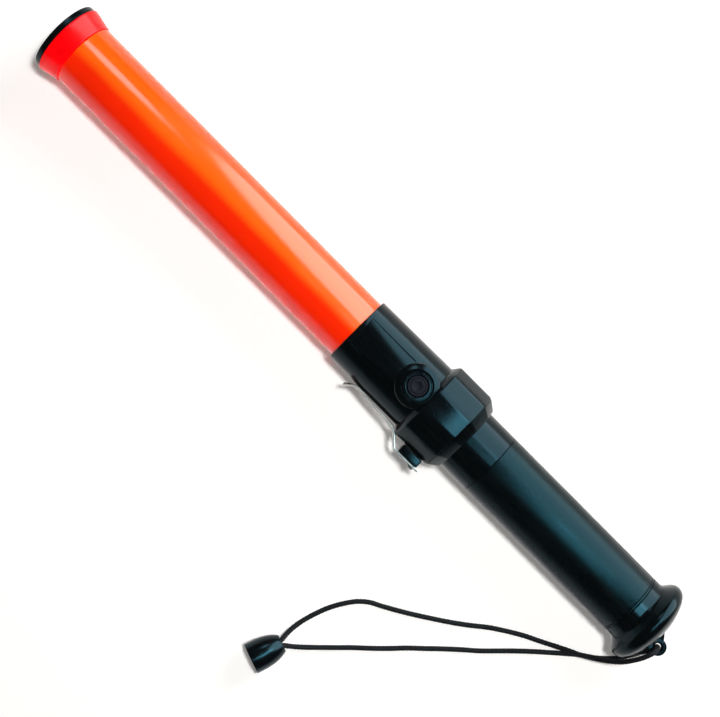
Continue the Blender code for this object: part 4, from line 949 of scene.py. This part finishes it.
class BATON_OT_light_tube(Operator):
    """Make the tube with its painted glow and painted light and shade, the flared end cap, its end plate and the
    gasket behind the tube
    """

    bl_idname = "baton.light_tube"
    bl_label = "Light Tube and Tip"

    def execute(self, context):
        settings = context.scene.baton
        self.tube(settings)
        self.cap(settings)
        self.plate(settings)
        self.gasket(settings)
        return {"FINISHED"}

    def bore(self):
        """The inside radius of the light tube."""
        return radius_of("board_tip_holder") + GAP

    def tube(self, settings):
        """The light tube, open at both ends."""
        low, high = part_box("light_tube")
        radius, bore = radius_of("light_tube"), self.bore()
        corners = [(radius, high.x, 0.0004), (radius, low.x, 0.0005), (bore, low.x, 0.0003), (bore, high.x, 0.0003)]
        tube = turned("tube_skin", corners, settings.segments, along_baton(), closed=True)
        finish_piece(tube, orange_tube(), "handle", "light_tube")

    def cap(self, settings):
        """The flared cap: a cup pushed into the tube, with a step at its front for the plate's lip."""
        low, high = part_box("end_cap")
        rim, neck = radius_of("end_cap"), radius_of("light_tube") + 0.0008
        shoulder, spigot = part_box("light_tube")[0].x - GAP, self.bore() - GAP
        wall, step = 0.002, low.x + PLATE_LIP
        corners = [
            (0, low.x + wall),
            (spigot - wall, low.x + wall, 0.001),
            (spigot - wall, high.x, 0.0003),
            (spigot, high.x, 0.0005),
            (spigot, shoulder),
            (neck, shoulder, 0.0004),
            (neck + 0.0001, shoulder - 0.0012),
            (rim, step + 0.0008, 0.0004),
            (rim, step, 0.0003),
            (self.plate_seat(), step),
            (self.plate_seat(), low.x),
            (0, low.x),
        ]
        cap = turned("cap_skin", corners, settings.segments, along_baton())
        finish_piece(cap, red_plastic(), "handle", "end_cap")

    def plate_seat(self):
        """The radius of the cap's front, which the end plate's lip goes over."""
        return radius_of("tip_plate") - PLATE_LIP_WALL

    def plate(self, settings):
        """The end plate, with a ring groove and a dimple on its face."""
        low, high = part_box("tip_plate")
        radius, seat, back = radius_of("tip_plate"), self.plate_seat() + GAP / 2, high.x + PLATE_LIP - GAP / 2
        groove, dimple = low.x + 0.0006, low.x + 0.0007
        corners = [
            (0, high.x),
            (seat, high.x),
            (seat, back),
            (radius, back, 0.0003),
            (radius, low.x, 0.0007),
            (radius * 0.84, low.x, 0.0004),
            (radius * 0.82, groove, 0.0002),
            (radius * 0.78, groove, 0.0002),
            (radius * 0.76, low.x, 0.0004),
            (radius * 0.14, low.x, 0.0004),
            (radius * 0.08, dimple, 0.0004),
            (0, dimple),
        ]
        plate = turned("end_plate", corners, settings.segments, along_baton())
        finish_piece(plate, black_plastic(), "handle", "tip_plate")

    def gasket(self, settings):
        """The soft seal between the tube's end and the housing's ledge."""
        low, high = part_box("tube_gasket")
        radius, bore, cut = radius_of("tube_gasket"), self.bore(), (high.x - low.x) / 3
        corners = [(radius, high.x, cut), (radius, low.x, cut), (bore, low.x, cut), (bore, high.x, cut)]
        gasket = turned("tube_seal", corners, settings.segments, along_baton(), closed=True)
        finish_piece(gasket, black_rubber(), "handle", "tube_gasket")


class BATON_OT_head(Operator):
    """Mould the head: barrel, grooved switch panel, button boss, twelve sided collar and neck ring"""

    bl_idname = "baton.head"
    bl_label = "Head"

    def execute(self, context):
        settings = context.scene.baton
        self.housing(settings)
        self.ring(settings)
        return {"FINISHED"}

    def housing(self, settings):
        """The head's housing, joined of its barrel, collar, boss and panel and then cut."""
        low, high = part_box("head_housing")
        radius, mouth, rear = settings.barrel_radius, low.x, high.x
        place, edge, chamfer = along_baton(), settings.edge_round, settings.collar_chamfer
        front = rear - settings.collar_length
        corners = [
            (0, rear - chamfer),
            (radius, rear - chamfer),
            (radius, (front + rear) / 2),
            (settings.mouth_radius, mouth, edge),
            (0, mouth),
        ]
        head = turned("head_skin", corners, settings.segments, place)
        side = twelve_sided(axis_height() - low.z)
        corners = [
            (0, rear),
            (side, rear),
            (side, front),
            (twelve_sided(radius - edge), front - chamfer),
            (0, front - chamfer),
        ]
        edges = {"twist": HALF_FACET, "bevel": edge, "soften": settings.collar_round}
        collar = turned("collar", corners, 12, place, **edges)
        station = sum(v.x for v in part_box("button_bezel")) / 2
        boss = self.boss(settings, station)
        panel_front, groove_front, groove_rear = mouth + 0.0025, mouth + 0.0035, station - 0.0112
        panel = self.panel(settings, panel_front, station - settings.boss_radius / 3)
        grooves = [self.groove(settings, way, groove_front, groove_rear) for way in (-1, 1)]
        cuts = [self.bore(settings, mouth, rear), self.button_bore(settings, station), *grooves]
        shaped(head, [collar, boss, panel], cuts)
        finish_piece(head, black_plastic(), "handle", "head_housing")

    def boss(self, settings, station):
        """The button's boss, with a sloped ring round its flat top."""
        top, radius = settings.boss_height, settings.boss_radius
        flat, side = radius - settings.boss_slope, top - settings.boss_slope * 0.42
        corners = [(0, top), (flat, top, 0.0008), (radius, side, 0.0012), (radius, 0), (0, 0)]
        return turned("boss", corners, settings.small_segments, upright(station))

    def panel(self, settings, low, high):
        """The raised panel in front of the button, which follows the barrel's curve."""
        rise, half = settings.panel_rise, settings.panel_half_width
        rear, front = settings.barrel_radius + rise, settings.mouth_radius + rise
        corners = [(0, high), (rear, high), (front, low, 0.0006), (0, low)]
        panel = turned("panel", corners, settings.segments, along_baton())
        over = 0.001
        limit = block("limit", (front / 2, -half, low - over), (rear + over, half, high + over), along_baton())
        return shaped(panel, within=[limit])

    def groove(self, settings, way, low, high):
        """A cutter that runs along the tapered barrel beside the panel, on one side or the other."""
        radius, half, sunk, rest = settings.barrel_radius, settings.groove_width / 2, 0.0003, 0.035
        lean = way * math.asin(settings.groove_offset / radius)
        taper = math.atan((radius - settings.mouth_radius) / (high - low + rest))
        place = along_baton() @ Matrix.Rotation(lean, 4, "Z")
        place = place @ Matrix.Translation((radius - sunk, 0, high)) @ Matrix.Rotation(taper, 4, "Y")
        depth = settings.groove_depth
        return block("groove", (-depth, -half, low - high), (OVERRUN, half, 0), place, half / 2, 2)

    def bore(self, settings, mouth, rear):
        """The stepped bore for the tube, its seal and the handle's neck."""
        socket, chamber, neck = (radius_of(name) + GAP for name in ("light_tube", "board_carrier", "handle_tube"))
        ledge, ledge_front = chamber - 0.0025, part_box("tube_gasket")[1].x + GAP
        ledge_rear, neck_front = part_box("board_carrier")[0].x - GAP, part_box("handle_tube")[0].x - GAP
        flare = 0.0006
        corners = [
            (0, rear + OVERRUN),
            (neck + flare + OVERRUN, rear + OVERRUN),
            (neck, rear - flare),
            (neck, neck_front),
            (chamber, neck_front),
            (chamber, ledge_rear),
            (ledge, ledge_rear),
            (ledge, ledge_front),
            (socket, ledge_front),
            (socket, mouth + flare),
            (socket + flare + OVERRUN, mouth - OVERRUN),
            (0, mouth - OVERRUN),
        ]
        return turned("bore", corners, settings.segments, along_baton())

    def button_bore(self, settings, station):
        """The recess for the bezel, the button's hole and the pocket under it for its flange and the switch."""
        recess, floor = cross_radius("button_bezel") + GAP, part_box("button_bezel")[0].z - GAP - axis_height()
        pocket, ceiling = cross_radius("button") + 0.0004, floor - BUTTON_SHELF
        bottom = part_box("switch_body")[0].z - axis_height()
        top, flare = settings.boss_height, 0.0005
        corners = [
            (0, top + OVERRUN),
            (recess + flare + OVERRUN, top + OVERRUN),
            (recess, top - flare),
            (recess, floor, 0.0003),
            (BUTTON_HOLE, floor),
            (BUTTON_HOLE, ceiling),
            (pocket, ceiling),
            (pocket, bottom),
            (0, bottom),
        ]
        return turned("button_bore", corners, settings.small_segments, upright(station))

    def ring(self, settings):
        """The twelve sided ring behind the collar, which narrows towards the grip."""
        low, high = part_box("neck_ring")
        front, back = radius_of("neck_ring"), 0.0238
        corners = [(0, high.x), (twelve_sided(back), high.x), (twelve_sided(front), low.x), (0, low.x)]
        edges = {"twist": HALF_FACET, "bevel": settings.edge_round, "soften": settings.collar_round * 0.8}
        ring = turned("neck_ring_skin", corners, 12, along_baton(), **edges)
        hole, ahead, behind = radius_of("handle_tube") + GAP, low.x - OVERRUN, high.x + OVERRUN
        corners = [(0, behind), (hole, behind), (hole, ahead), (0, ahead)]
        shaped(ring, cut=[turned("ring_hole", corners, settings.segments, along_baton())])
        finish_piece(ring, black_plastic(), "handle", "neck_ring")


class BATON_OT_button(Operator):
    """Mould the press button and the ringed bezel round it"""

    bl_idname = "baton.button"
    bl_label = "Button"

    def execute(self, context):
        settings = context.scene.baton
        low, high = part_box("button")
        station = (low.x + high.x) / 2
        self.button(settings, station, low.z - axis_height(), high.z - axis_height())
        self.bezel(settings, station)
        self.spring()
        return {"FINISHED"}

    def button(self, settings, station, bottom, top):
        """The button: a dished top with a turned ring, a flange that the shelf holds in, and a stem to the switch."""
        head, stem, flange = 0.0065, 0.0022, cross_radius("button")
        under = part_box("button_bezel")[0].z - axis_height() - GAP - BUTTON_SHELF - GAP
        line, back = top - 0.0003, under - 0.0012
        corners = [
            (0, top - 0.0007),
            (0.0018, top - 0.00055),
            (0.0031, top, 0.0004),
            (0.0045, top, 0.0002),
            (0.0047, line, 0.0001),
            (0.0052, line, 0.0001),
            (0.0054, top, 0.0002),
            (head, top - 0.0001, 0.0007),
            (head, under),
            (flange, under, 0.0002),
            (flange, back, 0.0002),
            (stem, back),
            (stem, bottom),
            (0, bottom),
        ]
        button = turned("button_skin", corners, settings.small_segments, upright(station))
        finish_piece(button, black_rubber(), "button", "button")

    def spring(self):
        """A coil under the flange that shortens by the button's travel."""
        low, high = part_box("button_spring")
        wire, turns, around = 0.00025, 3, 24
        height, radius = high.z - low.z, cross_radius("button_spring") - wire
        foot = Vector(((low.x + high.x) / 2, (low.y + high.y) / 2, low.z))
        section = Matrix.Translation((radius, 0, wire)) @ Matrix.Rotation(math.pi / 2, 4, "X")
        bm = bmesh.new()
        bmesh.ops.create_circle(bm, cap_ends=True, segments=8, radius=wire, matrix=section)
        geom, steps = [*bm.verts, *bm.edges, *bm.faces], turns * around
        rise = (0, 0, (height - 2 * wire) / steps)
        bmesh.ops.spin(
            bm, geom=geom, axis=(0, 0, 1), cent=(0, 0, 0), dvec=rise, angle=math.tau * turns, steps=steps
        )
        bmesh.ops.translate(bm, vec=foot, verts=bm.verts)
        coil = new_object("button_coil", bm, SOFT_CREASE)
        finish_piece(coil, clip_steel(), "handle", "button_spring")
        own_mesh(coil)

    def bezel(self, settings, station):
        """The ring round the button, with a raised lip at its hole."""
        low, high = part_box("button_bezel")
        outer, inner = cross_radius("button_bezel"), BUTTON_HOLE
        floor, top = low.z - axis_height(), high.z - axis_height()
        corners = [
            (outer, top - 0.0004, 0.0002),
            (outer, floor),
            (inner, floor),
            (inner, top - 0.0002, 0.0002),
            (inner + 0.0006, top, 0.0002),
            (inner + 0.0012, top - 0.0001, 0.0001),
            (outer - 0.0004, top - 0.0001, 0.0001),
        ]
        bezel = turned("bezel_skin", corners, settings.small_segments, upright(station), closed=True)
        finish_piece(bezel, black_plastic(), "handle", "button_bezel")


class BATON_OT_belt_clip(Operator):
    """Bend the belt clip's bowed leaf and make the block and screws that hold it"""

    bl_idname = "baton.belt_clip"
    bl_label = "Belt Clip"

    def execute(self, context):
        self.leaf()
        low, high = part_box("clip_block")
        base = block("clip_base", low, high, bevel=0.0010, segments=4)
        finish_piece(base, black_plastic(), "handle", "clip_block")
        for number in (1, 2):
            self.screw(number)
        return {"FINISHED"}

    def leaf(self):
        """The leaf: a sheet along its path, bowed across its width and narrowed to its tip and its end."""
        low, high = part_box("belt_clip")
        middle, half = (low.z + high.z) / 2, (high.z - low.z) / 2
        line = smooth_line([(station, -reach, low.z) for station, reach in LEAF_PATH], 0.0005)
        bm = bmesh.new()
        row = [bm.verts.new(point) for point in line]
        edges = [bm.edges.new(pair) for pair in zip(row, row[1:])]
        columns = 12
        for _ in range(columns):
            grown = bmesh.ops.extrude_edge_only(bm, edges=edges)["geom"]
            verts = [v for v in grown if isinstance(v, bmesh.types.BMVert)]
            edges = [e for e in grown if isinstance(e, bmesh.types.BMEdge) and all(v in verts for v in e.verts)]
            bmesh.ops.translate(bm, vec=(0, 0, 2 * half / columns), verts=verts)
        tip_half, end_round, bow = 0.0040, 0.0012, 0.0010
        for vert in bm.verts:
            across = (vert.co.z - middle) / half
            vert.co.y += bow * ramp(vert.co.x, -0.006, -0.008) * across**2
            near_tip, near_end = ramp(vert.co.x, -0.0525, -0.006), ramp(vert.co.x, 0.0118, 0.0012)
            share = 1 - (1 - tip_half / half) * near_tip**2 - end_round / half * near_end**2
            vert.co.z = middle + (vert.co.z - middle) * share
        fold = math.radians(50)
        leaf = new_object("clip_leaf", bm, fold)
        solid = leaf.modifiers.new("Thickness", "SOLIDIFY")
        solid.thickness, solid.offset, solid.use_even_offset = LEAF_THICKNESS, 0.0, True
        bevel = leaf.modifiers.new("Edges", "BEVEL")
        bevel.width, bevel.segments, bevel.limit_method, bevel.angle_limit = 0.00022, 2, "ANGLE", fold
        bake(leaf, fold)
        finish_piece(leaf, clip_steel(), "belt_clip", "belt_clip")

    def screw(self, number):
        """A screw with a low domed head and a cross slot."""
        name = f"clip_screw_{number}"
        low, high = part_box(name)
        head, head_height, shank = cross_radius(name), 0.0013, 0.0013
        top, seat, end = -low.y, -low.y - head_height, -high.y
        corners = [
            (0, top),
            (head * 0.55, top - 0.00008),
            (head * 0.9, top - 0.0004, 0.0002),
            (head, seat, 0.0001),
            (shank, seat),
            (shank, end),
            (0, end),
        ]
        place = outwards((low.x + high.x) / 2, (low.z + high.z) / 2)
        screw = turned(f"screw_{number}", corners, 48, place)
        long, wide, deep = head * 0.58, 0.00028, top - 0.0007
        slots = [
            block("slot", (-long, -wide, deep), (long, wide, top + 0.001), place @ Matrix.Rotation(turn, 4, "Z"))
            for turn in (math.radians(20 + 35 * number), math.radians(110 + 35 * number))
        ]
        shaped(screw, cut=slots)
        finish_piece(screw, clip_steel(), "handle", name)


class BATON_OT_handle(Operator):
    """Make the grip sleeve with its grained skin"""

    bl_idname = "baton.handle"
    bl_label = "Handle"

    def execute(self, context):
        settings = context.scene.baton
        low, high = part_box("grip_sleeve")
        radius, inner = radius_of("grip_sleeve"), 0.0210
        corners = [(radius, high.x, 0.0005), (radius, low.x, 0.0006), (inner, low.x), (inner, high.x)]
        grip = turned("grip_skin", corners, settings.segments, along_baton(), closed=True)
        finish_piece(grip, grip_rubber(), "handle", "grip_sleeve")
        return {"FINISHED"}


class BATON_OT_tail_cap(Operator):
    """Turn the screwed tail cap with its thread, resting flange, low dome and lanyard eye"""

    bl_idname = "baton.tail_cap"
    bl_label = "Tail Cap"

    def execute(self, context):
        settings = context.scene.baton
        self.cap(settings)
        self.gasket(settings)
        return {"FINISHED"}

    def cap(self, settings):
        """The cap: a hollow plug, a skirt as wide as the grip, and a flange that rests on the floor."""
        low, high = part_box("tail_cap")
        grip, plug, cup = radius_of("grip_sleeve"), 0.0169, 0.0141
        rim, end, dish = axis_height(), high.x - EYE_REACH, high.x - EYE_REACH - 0.0003
        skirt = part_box("tail_gasket")[1].x + GAP
        cone = skirt + 0.0070
        edge = cone + 0.0052
        back = edge + 0.0062
        dome = back + 0.0030
        floor = skirt + 0.0012
        corners = [
            (0, dish),
            (0.0085, dish, 0.0003),
            (0.0095, end, 0.0003),
            (0.0160, end, 0.0020),
            (0.0205, dome + 0.0018, 0.0015),
            (0.0245, dome, 0.0012),
            (rim, back - 0.0004, 0.0030),
            (rim, edge + 0.0006, 0.0024),
            (grip, cone, 0.0020),
            (grip, skirt, 0.0003),
            (plug, skirt),
            (plug, low.x, 0.0005),
            (cup, low.x, 0.0005),
            (cup, floor),
            (0, floor),
        ]
        cap = turned("tail_cap_skin", corners, settings.segments, along_baton(), steps=6)
        eye = self.eye(settings, end, high.x)
        shaped(cap, [eye], [self.eye_hole(settings, high.x)])
        self.thread(cap, plug, low.x + 0.0018)
        finish_piece(cap, black_plastic(), "tail_cap", "tail_cap")

    def eye(self, settings, end, reach):
        """The flat eye, whose root widens towards the cap."""
        radius, half, side = EYE_RADIUS, EYE_HALF_THICKNESS, EYE_SIDE_STEP
        sunk, widening = 0.006, 2.7
        low, high = (-half, side - radius, end - sunk), (half, side + radius, reach - radius)
        root = block("eye", low, high, along_baton(), 0.0005)
        for vert in root.data.vertices:
            share = (reach - radius - vert.co.x) / (reach - radius - end + sunk)
            vert.co.y = -side + (vert.co.y + side) * (1 + widening * share)
        where = Matrix.Translation((reach - radius, -side, axis_height()))
        disc = [(0, half), (radius, half, 0.0006), (radius, -half, 0.0006), (0, -half)]
        return shaped(root, [turned("eye_round", disc, settings.small_segments, where)])

    def eye_hole(self, settings, reach):
        """A cutter for the cord's hole, which widens towards both faces of the eye."""
        where = Matrix.Translation((reach - EYE_RADIUS, -EYE_SIDE_STEP, axis_height()))
        hole, over, half, flare = 0.0023, 0.004, EYE_HALF_THICKNESS, 0.0013
        mouth = hole + over - half + flare
        corners = [(0, over), (mouth, over), (hole, half - flare), (hole, -half + flare), (mouth, -over), (0, -over)]
        return turned("eye_hole", corners, settings.small_segments, where)

    def thread(self, cap, root, start):
        """Adds the helical ridge that screws into the handle."""
        pitch, turns, around = 0.0030, 2.5, 48
        inner, crest = root - 0.0003, root + 0.0009
        bm = bmesh.new()
        section = [(inner, -0.0007), (crest, -0.0004), (crest, 0.0004), (inner, 0.0007)]
        face = bm.faces.new([bm.verts.new((radius, 0, start + z)) for radius, z in section])
        geom, steps, rise = [*face.verts, *face.edges, face], int(around * turns), (0, 0, pitch / around)
        bmesh.ops.spin(
            bm, geom=geom, axis=(0, 0, 1), cent=(0, 0, 0), dvec=rise, angle=math.tau * turns, steps=steps
        )
        bmesh.ops.transform(bm, matrix=along_baton(), verts=bm.verts)
        bmesh.ops.recalc_face_normals(bm, faces=bm.faces)
        bm.from_mesh(cap.data)
        bm.to_mesh(cap.data)
        bm.free()
        cap.data.shade_smooth()
        cap.data.set_sharp_from_angle(angle=CREASE)

    def gasket(self, settings):
        """The seal that the cap is screwed against."""
        low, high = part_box("tail_gasket")
        inner, outer = radius_of("tail_gasket") - 0.0030, radius_of("grip_sleeve") - 0.0002
        cut = (high.x - low.x) / 5
        corners = [(outer, high.x, cut), (outer, low.x, cut), (inner, low.x, cut), (inner, high.x, cut)]
        gasket = turned("tail_seal_ring", corners, settings.segments, along_baton(), closed=True)
        finish_piece(gasket, grip_rubber(), "tail_seal", "tail_gasket")


INNER_FINISHES = {
    "handle_tube": black_plastic,
    "board_tip_holder": white_plastic,
    "led_board": board_green,
    "board_carrier": white_plastic,
    "control_board": board_green,
    "control_chip": black_plastic,
    "resistor_1": white_plastic,
    "resistor_2": white_plastic,
    "switch_body": black_plastic,
    "switch_plunger": white_plastic,
    "wire_positive": red_wire,
    "wire_negative": black_wire,
    "wire_light_positive": red_wire,
    "wire_light_negative": black_wire,
    "contact_carrier": white_plastic,
    "front_contact": brass,
    "battery_front": cell_sleeve,
    "battery_rear": cell_sleeve,
    "conductor_strip": brass,
    "tail_contact": clip_steel,
    "tail_spring": clip_steel,
}


def smoothing():
    """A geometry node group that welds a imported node's faces and shades it smooth up to its real edges."""
    found = bpy.data.node_groups.get("weld_and_smooth")
    if found:
        return found
    group = bpy.data.node_groups.new("weld_and_smooth", "GeometryNodeTree")
    for way in ("INPUT", "OUTPUT"):
        group.interface.new_socket("Geometry", in_out=way, socket_type="NodeSocketGeometry")
    wiring = Wiring(group)
    angle = wiring.add("GeometryNodeInputMeshEdgeAngle").outputs["Unsigned Angle"]
    limits = {"A": angle, "B": math.radians(32)}
    sharp = wiring.add("FunctionNodeCompare", limits, data_type="FLOAT", operation="GREATER_THAN").outputs["Result"]
    mesh = wiring.add("NodeGroupInput").outputs["Geometry"]
    for kind, links, values in (
        ("GeometryNodeMergeByDistance", {"Distance": 1e-6}, {}),
        ("GeometryNodeRemoveAttribute", {"Name": "custom_normal"}, {}),
        ("GeometryNodeSetShadeSmooth", {}, {"domain": "FACE"}),
        ("GeometryNodeSetShadeSmooth", {"Selection": sharp, "Shade Smooth": False}, {"domain": "EDGE"}),
    ):
        mesh = wiring.add(kind, {"Geometry": mesh, **links}, **values).outputs["Geometry"]
    wiring.add("NodeGroupOutput", {"Geometry": mesh})
    return group


class BATON_OT_inner_parts(Operator):
    """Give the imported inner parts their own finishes"""

    bl_idname = "baton.inner_parts"
    bl_label = "Inner Parts"

    def execute(self, context):
        finishes = dict(INNER_FINISHES)
        finishes.update({f"led_{number}": red_lens for number in range(1, 9)})
        for name, finish in finishes.items():
            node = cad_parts[name]
            for slot in node.material_slots:
                slot.material = finish()
            node.modifiers.new("Smooth", "NODES").node_group = smoothing()
        return {"FINISHED"}


OPERATORS = (
    BATON_OT_stage,
    BATON_OT_lanyard,
    BATON_OT_light_tube,
    BATON_OT_head,
    BATON_OT_button,
    BATON_OT_belt_clip,
    BATON_OT_handle,
    BATON_OT_tail_cap,
    BATON_OT_inner_parts,
)


class BATON_PT_build(Panel):
    bl_label = "LED Traffic Baton"
    bl_space_type = "VIEW_3D"
    bl_region_type = "UI"
    bl_category = "Baton"

    def draw(self, context):
        for name in BatonSettings.__annotations__:
            self.layout.prop(context.scene.baton, name)
        for operator in OPERATORS:
            self.layout.operator(operator.bl_idname)


CLASSES = (BatonSettings, *OPERATORS, BATON_PT_build)


def register():
    for cls in CLASSES:
        bpy.utils.register_class(cls)
    bpy.types.Scene.baton = PointerProperty(type=BatonSettings)


def unregister():
    del bpy.types.Scene.baton
    for cls in reversed(CLASSES):
        bpy.utils.unregister_class(cls)


def main():
    register()
    bpy.ops.baton.stage()
    bpy.ops.baton.lanyard()
    bpy.ops.baton.light_tube()
    bpy.ops.baton.head()
    bpy.ops.baton.button()
    bpy.ops.baton.belt_clip()
    bpy.ops.baton.handle()
    bpy.ops.baton.tail_cap()
    bpy.ops.baton.inner_parts()


if __name__ == "__main__":
    main()
